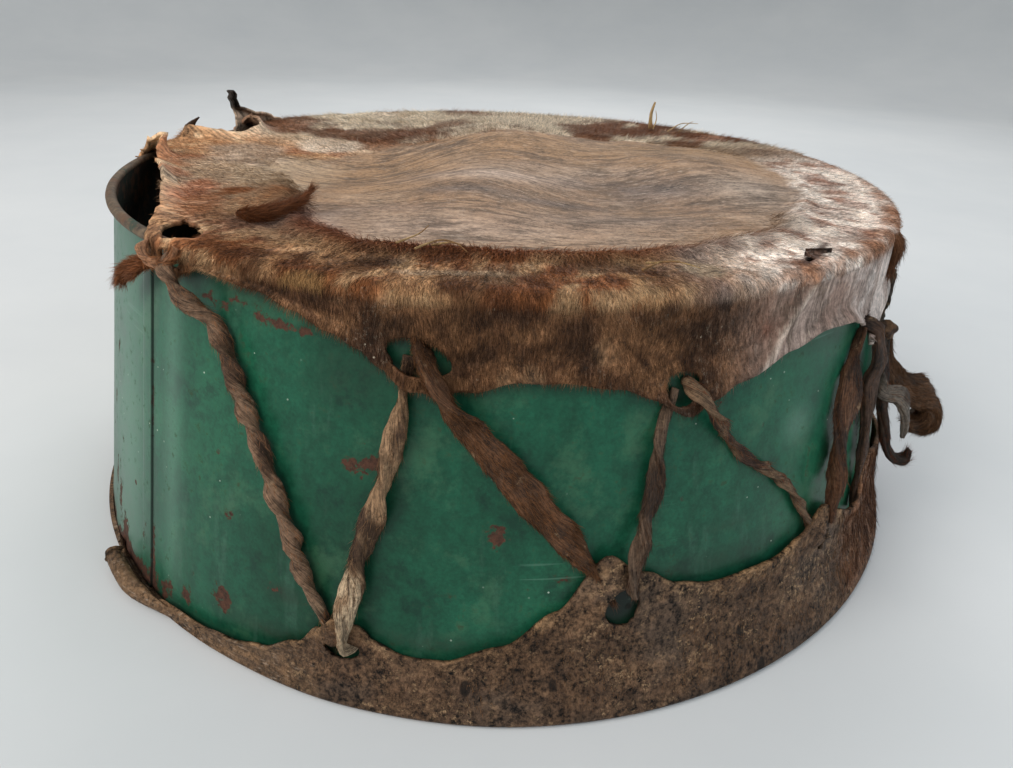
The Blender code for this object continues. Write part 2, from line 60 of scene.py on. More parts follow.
class Way(Enum):
    """Which way a thong runs between its two ears, seen from the left one."""

    DOWN = "down"
    UP = "up"


class Slot(Enum):
    """The record's material slots."""

    PAINT = "shell_paint"
    WIRE = "rusty_wire"
    UPPER = "haired_cowhide"
    LOWER = "dark_cowhide"
    THONG = "rawhide_thong"


def shade(red: float, green: float, blue: float) -> tuple[float, float, float, float]:
    """Turn a display colour into the shaders' linear one.

    Args:
        red, green, blue: display values from 0 to 255.

    Returns:
        Linear red, green and blue with full opacity.
    """
    parts = [value / 255.0 for value in (red, green, blue)]
    linear = [part / 12.92 if part <= 0.04045 else ((part + 0.055) / 1.055) ** 2.4 for part in parts]
    return (*linear, 1.0)


def spin(angle: np.ndarray, radius: np.ndarray, height: np.ndarray) -> np.ndarray:
    """Place points by angle, radius and height.

    Args:
        angle: degrees round the drum.
        radius: distance from the axis.
        height: height over the floor.

    Returns:
        Points, one row of three numbers each.
    """
    turn = np.radians(angle)
    flat = np.broadcast_arrays(radius * np.sin(turn), -radius * np.cos(turn), height)
    return np.stack(flat, axis=-1)


def angle_of(points: np.ndarray) -> np.ndarray:
    """Angle round the drum of each point, from -180 to 180 degrees."""
    return np.degrees(np.arctan2(points[..., 0], -points[..., 1]))


def apart(angle: np.ndarray, other: float) -> np.ndarray:
    """Signed smallest difference between angles and another one, in degrees."""
    return (angle - other + 180.0) % 360.0 - 180.0


def ease(value: np.ndarray, low: float, high: float) -> np.ndarray:
    """Smooth step from 0 at low to 1 at high."""
    share = np.clip((value - low) / (high - low), 0.0, 1.0)
    return share * share * (3.0 - 2.0 * share)


def ring_value(points: tuple[Point, ...], angle: np.ndarray) -> np.ndarray:
    """Smooth value at each angle from a ring of (angle, value) points.

    Args:
        points: knots with rising angles that span less than a full turn.
        angle: degrees at which the value is wanted.

    Returns:
        The eased value at each angle.
    """
    knots = np.array([*points, (points[0][0] + 360.0, points[0][1])])
    turned = (angle - knots[0, 0]) % 360.0 + knots[0, 0]
    place = np.clip(np.searchsorted(knots[:, 0], turned, side="right") - 1, 0, len(knots) - 2)
    share = (turned - knots[place, 0]) / (knots[place + 1, 0] - knots[place, 0])
    share = share * share * (3.0 - 2.0 * share)
    return knots[place, 1] + (knots[place + 1, 1] - knots[place, 1]) * share


def hashed(cells: np.ndarray, seed: int) -> np.ndarray:
    """A fixed random value from 0 to 1 for each whole-numbered cell."""
    mixed = np.full(cells.shape[:-1], (seed * 2654435761) & 0xFFFFFFFF, np.uint32)
    for axis, factor in enumerate((374761393, 668265263, 2246822519)):
        mixed = (mixed ^ (cells[..., axis].astype(np.uint32) * np.uint32(factor))) * np.uint32(3266489917)
        mixed ^= mixed >> np.uint32(15)
    return mixed / 4294967295.0


def smooth_noise(points: np.ndarray, size: float, seed: int) -> np.ndarray:
    """Smooth noise from -1 to 1 at each point.

    Args:
        points: rows of three coordinates.
        size: distance over which the noise changes.
        seed: which pattern.

    Returns:
        One value for each point.
    """
    scaled = points / size
    base = np.floor(scaled).astype(np.int64)
    part = scaled - base
    part = part * part * (3.0 - 2.0 * part)
    total = np.zeros(points.shape[:-1])
    for corner in itertools.product((0, 1), repeat=3):
        picked = np.array(corner)
        weight = np.prod(np.where(picked == 1, part, 1.0 - part), axis=-1)
        total += weight * hashed(base + picked, seed)
    return total * 2.0 - 1.0


def layered_noise(points: np.ndarray, size: float, layers: int, seed: int) -> np.ndarray:
    """Noise in layers, each half the size and strength of the one before, from about -1 to 1."""
    total = sum(smooth_noise(points, size / 2 ** layer, seed + layer) / 2 ** layer for layer in range(layers))
    return total / (2.0 - 0.5 ** (layers - 1))


def outline_distance(x: np.ndarray, y: np.ndarray, outline: np.ndarray) -> np.ndarray:
    """Signed distance to a closed outline, negative inside.

    Args:
        x, y: coordinates of the points.
        outline: corners in order, one row each.

    Returns:
        One distance for each point.
    """
    nearest = np.full(x.shape, np.inf)
    inside = np.zeros(x.shape, bool)
    for (ax, ay), (bx, by) in zip(outline, np.roll(outline, -1, axis=0)):
        along_x, along_y = bx - ax, by - ay
        share = ((x - ax) * along_x + (y - ay) * along_y) / (along_x ** 2 + along_y ** 2)
        share = np.clip(share, 0.0, 1.0)
        nearest = np.minimum(nearest, np.hypot(x - ax - share * along_x, y - ay - share * along_y))
        crosses = (ay > y) != (by > y)
        height = np.where(crosses, (y - ay) / np.where(along_y == 0.0, 1.0, along_y), 0.0)
        inside ^= crosses & (x < ax + height * along_x)
    return np.where(inside, -nearest, nearest)


def grid_faces(rows: int, columns: int, wrap_rows: bool = False, wrap_columns: bool = True) -> np.ndarray:
    """Four-sided faces of a grid of vertices that is stored row by row.

    Args:
        rows, columns: size of the grid.
        wrap_rows, wrap_columns: whether the last row or column joins the first.

    Returns:
        Vertex numbers, one row of four for each face.
    """
    row = np.arange(rows if wrap_rows else rows - 1)[:, None]
    column = np.arange(columns if wrap_columns else columns - 1)[None, :]
    next_row, next_column = (row + 1) % rows, (column + 1) % columns
    corners = (row * columns + column, row * columns + next_column,
               next_row * columns + next_column, next_row * columns + column)
    return np.stack(np.broadcast_arrays(*corners), axis=-1).reshape(-1, 4)


def make_mesh(name: str, vertices: np.ndarray, faces: list | np.ndarray,
              attributes: dict[str, np.ndarray] | None = None) -> bpy.types.Mesh:
    """Build a smooth mesh with named point attributes.

    Args:
        name: the mesh's name.
        vertices: one row of three coordinates each.
        faces: vertex numbers of each face.
        attributes: values for each vertex: one number, three numbers or a colour.

    Returns:
        The mesh.
    """
    mesh = bpy.data.meshes.new(name)
    mesh.from_pydata(np.asarray(vertices).tolist(), [], faces.tolist() if isinstance(faces, np.ndarray) else faces)
    kinds = {1: ("FLOAT", "value"), 3: ("FLOAT_VECTOR", "vector"), 4: ("FLOAT_COLOR", "color")}
    for label, values in (attributes or {}).items():
        width = 1 if values.ndim == 1 else values.shape[1]
        kind, slot_name = kinds[width]
        layer = mesh.attributes.new(label, kind, "POINT")
        layer.data.foreach_set(slot_name, np.ascontiguousarray(values, np.float32).ravel())
    mesh.shade_smooth()
    mesh.update()
    return mesh


def link_object(name: str, mesh: bpy.types.Mesh, *finishes: bpy.types.Material) -> bpy.types.Object:
    """Put a mesh in the scene as a named object with its materials."""
    for finish in finishes:
        mesh.materials.append(finish)
    made = bpy.data.objects.new(name, mesh)
    bpy.context.scene.collection.objects.link(made)
    return made


def settle(piece: bpy.types.Object, slot: Slot, *nodes: str) -> bpy.types.Object:
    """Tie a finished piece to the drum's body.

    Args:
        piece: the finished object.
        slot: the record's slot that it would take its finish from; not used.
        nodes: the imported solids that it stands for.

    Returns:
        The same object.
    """
    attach(piece, BODY)
    if nodes:
        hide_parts(*nodes)
    LOG.info("%s: %d faces", piece.name, len(piece.data.polygons))
    return piece


class Graph:
    """Short calls that add nodes to a tree and wire them up."""

    def __init__(self, tree: bpy.types.NodeTree) -> None:
        """Start with a tree, which is emptied by its owner."""
        self.tree = tree

    def add(self, kind: str, inputs: dict | None = None, **settings: object) -> bpy.types.Node:
        """Add one node.

        Args:
            kind: the node's type name.
            inputs: socket names or numbers, with the value or the socket that feeds each.
            settings: the node's own properties.

        Returns:
            The new node.
        """
        node = self.tree.nodes.new(kind)
        for key, value in settings.items():
            setattr(node, key, value)
        for key, value in (inputs or {}).items():
            socket = node.inputs[key]
            if isinstance(value, bpy.types.NodeSocket):
                self.tree.links.new(value, socket)
            else:
                socket.default_value = value
        return node

    def math(self, operation: str, *values: object) -> bpy.types.NodeSocket:
        """Result of a Math node."""
        return self.add("ShaderNodeMath", dict(enumerate(values)), operation=operation).outputs[0]

    def vector(self, operation: str, *values: object) -> bpy.types.NodeSocket:
        """Result of a Vector Math node."""
        return self.add("ShaderNodeVectorMath", dict(enumerate(values)), operation=operation).outputs[0]

    def between(self, value: object, low: float, high: float, start: float = 0.0,
                end: float = 1.0) -> bpy.types.NodeSocket:
        """Smooth step of a value from low to high, given as start to end."""
        inputs = {"Value": value, "From Min": low, "From Max": high, "To Min": start, "To Max": end}
        return self.add("ShaderNodeMapRange", inputs, interpolation_type="SMOOTHSTEP").outputs["Result"]

    def mix(self, factor: object, first: object, second: object, kind: str = "MIX") -> bpy.types.NodeSocket:
        """Colour mix of two colours."""
        node = self.add("ShaderNodeMix", data_type="RGBA", blend_type=kind)
        for socket, value in ((node.inputs[0], factor), (node.inputs[6], first), (node.inputs[7], second)):
            if isinstance(value, bpy.types.NodeSocket):
                self.tree.links.new(value, socket)
            else:
                socket.default_value = value
        return node.outputs[2]

    def noise(self, place: object, scale: float, detail: float = 4.0, rough: float = 0.6) -> bpy.types.NodeSocket:
        """Value of a Noise texture at a place."""
        inputs = {"Vector": place, "Scale": scale, "Detail": detail, "Roughness": rough}
        return self.add("ShaderNodeTexNoise", inputs).outputs[0]

    def cells(self, place: object, scale: float) -> bpy.types.Node:
        """A Voronoi texture at a place."""
        return self.add("ShaderNodeTexVoronoi", {"Vector": place, "Scale": scale})

    def read(self, name: str, colour: bool = False) -> bpy.types.NodeSocket:
        """A named attribute of the piece, as a number or a colour."""
        return self.add("ShaderNodeAttribute", attribute_name=name).outputs["Color" if colour else "Fac"]

    def ramp(self, value: object, *stops: tuple[float, tuple]) -> bpy.types.NodeSocket:
        """Colour from a ramp with the given stops."""
        node = self.add("ShaderNodeValToRGB", {"Fac": value})
        elements = node.color_ramp.elements
        while len(elements) < len(stops):
            elements.new(0.5)
        for element, (place, colour) in zip(elements, stops):
            element.position = place
            element.color = colour
        return node.outputs[0]

    def bump(self, height: object, strength: float, distance: float,
             normal: object | None = None) -> bpy.types.NodeSocket:
        """Normal of a Bump node."""
        inputs = {"Height": height, "Strength": strength, "Distance": distance}
        if normal is not None:
            inputs["Normal"] = normal
        return self.add("ShaderNodeBump", inputs).outputs[0]


def new_material(name: str) -> tuple[bpy.types.Material, Graph, bpy.types.Node, bpy.types.NodeSocket]:
    """Start a material.

    Args:
        name: the material's name.

    Returns:
        The material, its graph, its Principled node and its Object coordinates.
    """
    made = bpy.data.materials.new(name)
    made.use_nodes = True
    graph = Graph(made.node_tree)
    shader = made.node_tree.nodes["Principled BSDF"]
    place = graph.add("ShaderNodeTexCoord").outputs["Object"]
    return made, graph, shader, place


def wire(graph: Graph, shader: bpy.types.Node, **values: object) -> None:
    """Feed a Principled node.

    Args:
        graph: the material's graph.
        shader: its Principled node.
        values: socket names with underscores for spaces, each with a value or a socket.
    """
    for key, value in values.items():
        socket = shader.inputs[key.replace("_", " ")]
        if isinstance(value, bpy.types.NodeSocket):
            graph.tree.links.new(value, socket)
        else:
            socket.default_value = value


@dataclass(frozen=True)
class ShellPaint:
    """Worn gloss enamel on the steel wall, with rust where it is chipped, and with painted shade, shadow and a
    highlight read from the wall's attributes.
    """

    deep: Colour = (15, 60, 41)
    middle: Colour = (23, 83, 60)
    bright: Colour = (38, 102, 72)
    faded_and_highlight: Colour = (104, 142, 122)
    rust: Colour = (96, 62, 46)
    rust_dark: Colour = (46, 32, 26)
    stain: Colour = (58, 62, 40)
    speck: Colour = (176, 190, 172)
    gloss: float = 0.30

    def material(self) -> bpy.types.Material:
        """The paint, read from the wall's attributes: rust; dirt with painted shade along the hides' edges and at their
        slots; pale worn paint with a painted highlight beside the lap; and the dark lap line with painted shadow inside
        the slots.
        """
        made, g, shader, place = new_material("worn_green_enamel")
        broad = g.noise(place, 7.0, 5.0, 0.55)
        fine = g.noise(place, 150.0, 8.0, 0.72)
        upright = g.noise(g.vector("MULTIPLY", place, (70.0, 70.0, 5.0)), 1.0, 5.0, 0.6)
        grain = g.noise(place, 620.0, 3.0, 0.6)
        colour = g.ramp(broad, (0.30, shade(*self.deep)), (0.52, shade(*self.middle)), (0.74, shade(*self.bright)))
        colour = g.mix(g.between(upright, 0.42, 0.62, 0.0, 0.40), colour, shade(*self.deep))
        colour = g.mix(g.between(upright, 0.56, 0.70, 0.0, 0.13), colour, shade(*self.faded_and_highlight))
        worn = g.add("ShaderNodeCombineColor", dict.fromkeys(range(3), g.math(
            "ADD", g.between(fine, 0.36, 0.64, 0.82, 1.18), g.between(grain, 0.36, 0.64, -0.09, 0.09)))).outputs[0]
        colour = g.mix(1.0, colour, worn, "MULTIPLY")
        smear = g.noise(place, 26.0, 7.0, 0.72)
        colour = g.mix(g.between(smear, 0.52, 0.68, 0.0, 0.42), colour, shade(72, 112, 82))
        colour = g.mix(g.between(smear, 0.45, 0.33, 0.0, 0.60), colour, shade(12, 44, 34))
        # Pale worn paint, with the painted highlight beside the lap and the painted reflection on the left.
        colour = g.mix(g.math("MULTIPLY", g.read("faded_and_highlight"), g.between(fine, 0.1, 0.9, 0.55, 1.0)), colour,
                       shade(*self.faded_and_highlight))
        wear = g.math("ADD", g.read("rust"), g.between(fine, 0.28, 0.72, -0.62, 0.62))
        stained = g.between(g.math("ADD", wear, g.between(broad, 0.3, 0.7, -0.1, 0.1)), 0.30, 0.80, 0.0, 0.72)
        colour = g.mix(stained, colour, shade(*self.stain))
        # Dirt and painted shade: darker along the hides' edges and at their slots.
        grime_and_shade = g.math("MULTIPLY", g.read("grime_and_shade"), g.between(fine, 0.25, 0.8))
        colour = g.mix(grime_and_shade, colour, shade(38, 36, 28))
        chip = g.between(wear, 0.60, 0.66)
        spots = g.cells(place, 92.0)
        small = g.between(g.math("ADD", spots.outputs["Distance"], g.between(fine, 0.0, 1.0, -0.12, 0.12)), 0.16, 0.12)
        picked = g.between(g.noise(place, 23.0, 3.0, 0.6), 0.60, 0.66)
        chip = g.math("MAXIMUM", chip, g.math("MULTIPLY", small, picked))
        rusty = g.ramp(g.noise(place, 330.0, 6.0, 0.7), (0.32, shade(*self.rust_dark)), (0.68, shade(*self.rust)))
        colour = g.mix(chip, colour, rusty)
        dots = g.cells(place, 210.0)
        white = g.between(dots.outputs["Distance"], 0.13, 0.09)
        rare = g.between(dots.outputs["Color"], 0.74, 0.80)
        white = g.math("MULTIPLY", g.math("MULTIPLY", white, rare), g.between(broad, 0.45, 0.6))
        colour = g.mix(white, colour, shade(*self.speck))
        scrape = g.noise(g.vector("MULTIPLY", place, (9.0, 9.0, 420.0)), 1.0, 2.0, 0.5)
        scrape = g.math("MULTIPLY", g.between(scrape, 0.66, 0.70), g.between(g.noise(place, 11.0), 0.56, 0.64))
        colour = g.mix(g.math("MULTIPLY", scrape, 0.28), colour, shade(*self.faded_and_highlight))
        # Dark lap line, and painted shadow on the wall inside the hides' slots.
        colour = g.mix(g.math("MULTIPLY", g.read("seam"), 0.94), colour, shade(14, 24, 19))
        rough = g.math("ADD", g.between(fine, 0.2, 0.8, self.gloss, self.gloss + 0.12),
                       g.math("MULTIPLY", g.math("MAXIMUM", chip, stained), 0.42))
        height = g.math("ADD", g.math("MULTIPLY", chip, -1.0), g.math("MULTIPLY", fine, 0.10))
        normal = g.bump(height, 0.55, 0.0006)
        normal = g.bump(g.math("MULTIPLY", grain, g.math("ADD", chip, 0.12)), 0.35, 0.0004, normal)
        wire(g, shader, Base_Color=colour, Roughness=rough, Normal=normal, Specular_IOR_Level=0.26)
        return made


@dataclass(frozen=True)
class RustySteel:
    """Bare steel gone brown, on the rolled rim, the wire and the inside of the shell."""

    name: str = "rusted_rim_steel"
    light: Colour = (126, 106, 84)
    dark: Colour = (56, 44, 34)
    paint: Colour = (46, 66, 52)
    paint_left: float = 0.08
    roughness: float = 0.72

    def material(self) -> bpy.types.Material:
        """The rusted steel with remains of paint."""
        made, g, shader, place = new_material(self.name)
        fine = g.noise(place, 240.0, 8.0, 0.7)
        broad = g.noise(place, 34.0, 5.0, 0.6)
        colour = g.ramp(fine, (0.36, shade(*self.dark)), (0.64, shade(*self.light)))
        colour = g.mix(g.between(broad, 0.62 - self.paint_left * 0.3, 0.66), colour, shade(*self.paint))
        colour = g.mix(g.between(g.noise(place, 90.0), 0.50, 0.62, 0.0, 0.7), colour, shade(104, 72, 50))
        normal = g.bump(fine, 0.6, 0.0008)
        rough = g.between(fine, 0.2, 0.8, self.roughness - 0.1, self.roughness + 0.12)
        wire(g, shader, Base_Color=colour, Roughness=rough, Metallic=0.25, Normal=normal)
        return made


@dataclass(frozen=True)
class DriedHide:
    """Dried skin, with streaks that follow the hair's lay and pores where it is bare."""

    name: str
    streak: float = 0.55
    grit: float = 0.32
    pore: float = 0.45
    gloss: float = 0.62
    fleck: Colour = (214, 196, 170)
    dark: Colour = (44, 32, 26)
    shine: float = 0.20
    wear: float = 0.20
    mottle: float = 0.20
    pitted: float = 0.45

    def material(self) -> bpy.types.Material:
        """The skin, read from its colour and bare attributes."""
        made, g, shader, place = new_material(self.name)
        tone = g.read("hide_colour", colour=True)
        bare = g.read("bare")
        parts = g.add("ShaderNodeSeparateXYZ", {"Vector": place})
        flat = g.add("ShaderNodeCombineXYZ", {"X": parts.outputs[0], "Y": parts.outputs[1]})
        outward = g.vector("NORMALIZE", flat.outputs[0])
        reach = g.math("SUBTRACT", g.add("ShaderNodeVectorMath", {0: flat.outputs[0]},
                                         operation="LENGTH").outputs["Value"], parts.outputs[2])
        around = g.add("ShaderNodeVectorMath", {0: outward, "Scale": 21.0}, operation="SCALE").outputs[0]
        lay = g.vector("ADD", around, g.add("ShaderNodeCombineXYZ", {"Z": g.math("MULTIPLY", reach, 40.0)}).outputs[0])
        sway = g.add("ShaderNodeTexNoise", {"Vector": place, "Scale": 16.0, "Detail": 3.0}).outputs["Color"]
        sway = g.add("ShaderNodeVectorMath", {0: sway, "Scale": 1.1}, operation="SCALE").outputs[0]
        hairs = g.noise(g.vector("ADD", lay, sway), 3.4, 7.0, 0.7)
        drift = g.add("ShaderNodeTexNoise", {"Vector": place, "Scale": 5.5, "Detail": 4.0}).outputs["Color"]
        drift = g.add("ShaderNodeVectorMath", {0: drift, "Scale": 2.6}, operation="SCALE").outputs[0]
        course = g.add("ShaderNodeAttribute", attribute_name="flow").outputs["Vector"]
        flow = g.vector("ADD", g.vector("MULTIPLY", course, (22.0, 112.0, 40.0)), drift)
        streaks = g.noise(flow, 1.5, 9.0, 0.72)
        threads = g.noise(g.vector("MULTIPLY", course, (90.0, 430.0, 160.0)), 1.7, 6.0, 0.72)
        lines = g.add("ShaderNodeMix", {0: bare, 2: hairs, 3: g.math("ADD", g.math("MULTIPLY", streaks, 0.55),
                                        g.math("MULTIPLY", threads, 0.45))}, data_type="FLOAT").outputs[0]
        fine = g.noise(place, 420.0, 7.0, 0.78)
        mottled = g.noise(place, 46.0, 6.0, 0.68)
        swing = g.between(bare, 0.0, 1.0, self.streak, self.streak * 0.72)
        value = g.math("ADD", g.math("MULTIPLY_ADD", g.between(lines, 0.36, 0.64, -1.0, 1.0), swing, 1.0),
                       g.between(mottled, 0.34, 0.66, -self.mottle, self.mottle))
        value = g.math("ADD", value, g.between(fine, 0.37, 0.63, -self.grit, self.grit))
        grey = g.add("ShaderNodeCombineColor", {0: value, 1: value, 2: value}).outputs[0]
        colour = g.mix(1.0, tone, grey, "MULTIPLY")
        golden = g.math("MULTIPLY", g.between(g.noise(place, 12.0, 5.0), 0.50, 0.66, 0.0, 0.34), bare)
        colour = g.mix(golden, colour, shade(156, 118, 78))
        region = g.between(g.noise(g.vector("MULTIPLY", course, (8.0, 26.0, 10.0)), 1.0, 5.0, 0.6), 0.42, 0.62)
        slate = g.math("MULTIPLY", g.math("MULTIPLY", g.between(streaks, 0.56, 0.42, 0.0, 0.66), bare), region)
        colour = g.mix(slate, colour, shade(84, 67, 54))
        pale = g.math("MULTIPLY", g.between(threads, 0.54, 0.66, 0.0, 0.46), bare)
        colour = g.mix(pale, colour, shade(198, 178, 158))
        crack = g.noise(g.vector("MULTIPLY", course, (26.0, 330.0, 90.0)), 1.0, 5.0, 0.6)
        colour = g.mix(g.math("MULTIPLY", g.between(crack, 0.31, 0.27, 0.0, 0.55), bare), colour, shade(66, 48, 38))
        smooth = g.math("MULTIPLY_ADD", bare, -0.85, 1.0)
        dirt = g.math("MULTIPLY", g.between(g.noise(place, 88.0, 7.0, 0.75), 0.62, 0.72, 0.0, 0.7), smooth)
        colour = g.mix(dirt, colour, shade(*self.dark))
        flecks = g.cells(g.vector("MULTIPLY", place, (1.0, 1.6, 1.3)), 330.0)
        shown = g.math("MULTIPLY", g.between(flecks.outputs["Distance"], 0.26, 0.16),
                       g.between(flecks.outputs["Color"], 0.80, 0.86))
        shown = g.math("MULTIPLY", shown, g.between(g.noise(place, 30.0, 3.0), 0.48, 0.62))
        colour = g.mix(g.math("MULTIPLY", shown, 0.75), colour, shade(*self.fleck))
        worn = g.math("MULTIPLY", g.between(g.noise(place, 300.0, 8.0, 0.85), 0.53, 0.59),
                      g.between(g.noise(place, 30.0, 6.0, 0.7), 0.47, 0.60))
        colour = g.mix(g.math("MULTIPLY", g.math("MULTIPLY", worn, smooth), self.wear), colour, shade(*self.fleck))
        torn = g.cells(g.vector("MULTIPLY", place, (1.0, 1.0, 0.55)), 62.0)
        slits = g.math("MULTIPLY", g.between(torn.outputs["Distance"], 0.20, 0.14),
                       g.between(torn.outputs["Color"], 0.52, 0.56))
        slits = g.math("MULTIPLY", slits, g.between(fine, 0.40, 0.50))
        colour = g.mix(g.math("MULTIPLY", slits, max(0.0, self.pitted * 2.0 - 1.0)), colour, shade(24, 18, 14))
        pits = g.between(g.noise(place, 190.0, 6.0, 0.7), 0.37, 0.32, 0.0, self.pitted)
        colour = g.mix(g.math("MULTIPLY", pits, smooth), colour, shade(*self.dark))
        height = g.math("ADD", g.math("MULTIPLY", lines, 1.0), g.math("MULTIPLY", fine, self.pore))
        normal = g.bump(height, 0.75, 0.0011)
        normal = g.bump(mottled, 0.35, 0.0022, normal)
        rough = g.between(lines, 0.2, 0.8, self.gloss + 0.12, self.gloss - 0.06)
        wire(g, shader, Base_Color=colour, Roughness=rough, Normal=normal, Specular_IOR_Level=self.shine)
        return made


@dataclass(frozen=True)
class Rawhide:
    """A twisted strip of raw skin: fibres along it, with hair and pale flesh side in turns."""

    name: str = "twisted_rawhide"
    dark: Colour = (40, 30, 23)
    gloss: float = 0.60

    def material(self) -> bpy.types.Material:
        """The strip, read from its tone attribute and its UV map, with V along it."""
        made, g, shader, place = new_material(self.name)
        strip = g.add("ShaderNodeUVMap", uv_map="along").outputs[0]
        tone = g.read("tone", colour=True)
        fibres = g.noise(g.vector("MULTIPLY", strip, (60.0, 90.0, 1.0)), 1.0, 8.0, 0.75)
        bands = g.noise(g.vector("MULTIPLY", strip, (5.0, 30.0, 1.0)), 1.0, 6.0, 0.65)
        fine = g.noise(place, 520.0, 6.0, 0.75)
        value = g.math("ADD", g.between(fibres, 0.36, 0.64, 0.35, 1.65), g.between(fine, 0.36, 0.64, -0.30, 0.30))
        grey = g.add("ShaderNodeCombineColor", {0: value, 1: value, 2: value}).outputs[0]
        colour = g.mix(1.0, tone, grey, "MULTIPLY")
        colour = g.mix(g.between(bands, 0.50, 0.64, 0.0, 0.75), colour, shade(*self.dark))
        colour = g.mix(g.between(g.noise(place, 130.0, 6.0), 0.62, 0.72, 0.0, 0.55), colour, shade(168, 140, 108))
        normal = g.bump(g.math("ADD", fibres, g.math("MULTIPLY", fine, 0.5)), 0.8, 0.0010)
        rough = g.between(fibres, 0.2, 0.8, self.gloss + 0.12, self.gloss - 0.06)
        wire(g, shader, Base_Color=colour, Roughness=rough, Normal=normal, Specular_IOR_Level=0.22)
        return made


@dataclass(frozen=True)
class Strands:
    """Short cow hair: each strand has its own shade, darker at the root."""

    name: str = "cow_hair"
    spread: float = 0.55
    gloss: float = 0.60

    def material(self) -> bpy.types.Material:
        """The hair, read from its colour, shade and root-to-tip attributes."""
        made, g, shader, place = new_material(self.name)
        tone = g.read("hair_colour", colour=True)
        value = g.between(g.read("strand"), 0.0, 1.0, 1.0 - self.spread, 1.0 + self.spread)
        value = g.math("MULTIPLY", value, g.between(g.read("tip"), 0.0, 1.0, 0.80, 1.16))
        value = g.math("ADD", value, g.between(g.noise(place, 300.0, 3.0), 0.3, 0.7, -0.1, 0.1))
        grey = g.add("ShaderNodeCombineColor", {0: value, 1: value, 2: value}).outputs[0]
        wire(g, shader, Base_Color=g.mix(1.0, tone, grey, "MULTIPLY"), Roughness=self.gloss,
             Specular_IOR_Level=0.12)
        return made


@dataclass
class DrumSizes:
    """Sizes of the drum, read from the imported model."""

    base: float = 0.0
    top: float = 0.0
    bottom_radius: float = 0.0
    top_radius: float = 0.0
    bead_centre: float = 0.0
    bead_height: float = 0.0
    bead_radius: float = 0.0
    sheet: float = 0.0010
    fit: float = 0.0003
    hide: float = 0.0025

    @classmethod
    def measured(cls) -> "DrumSizes":
        """Read the shell's and the rim wire's boxes.

        Returns:
            The sizes that every class builds from.
        """
        low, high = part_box("shell")
        wire_low, wire_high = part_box("rim_wire")
        wire_radius = (wire_high.z - wire_low.z) / 2.0
        made = cls(base=low.z, top=high.z, bottom_radius=high.x)
        made.bead_height = (wire_high.z + wire_low.z) / 2.0
        made.bead_radius = high.z - made.bead_height
        made.bead_centre = wire_high.x - wire_radius
        made.top_radius = made.bead_centre - made.bead_radius + made.sheet
        return made

    @property
    def bead_outer(self) -> float:
        """Outside radius of the rolled rim."""
        return self.bead_centre + self.bead_radius

    @property
    def rim_corner(self) -> float:
        """Radius at which the upper hide turns down."""
        return self.bead_outer + self.fit

    def wall(self, height: np.ndarray) -> np.ndarray:
        """Outside radius of the steel wall at a height."""
        share = (height - self.base) / (self.top - self.base)
        return self.bottom_radius + (self.top_radius - self.bottom_radius) * share

    def skirt(self, height: np.ndarray) -> np.ndarray:
        """Inside radius of the upper hide's skirt at a height."""
        return np.maximum(self.bead_outer, self.wall(height)) + self.fit


@dataclass(frozen=True)
class Patch:
    """A place on the wall, for rust, dirt, pale paint, painted shade, painted shadow and a painted highlight alike:
    angle, height, half width and half height, and how strong it is.
    """

    angle: float
    height: float
    across: float
    tall: float
    strength: float = 1.0

    def weight(self, sizes: DrumSizes, angle: np.ndarray, height: np.ndarray) -> np.ndarray:
        """How strongly each point of the wall lies in the place, from 0 to its strength."""
        away = np.radians(apart(angle, self.angle)) * sizes.top_radius / self.across
        up = (height - self.height) / self.tall
        return self.strength * np.exp(-(away * away + up * up))


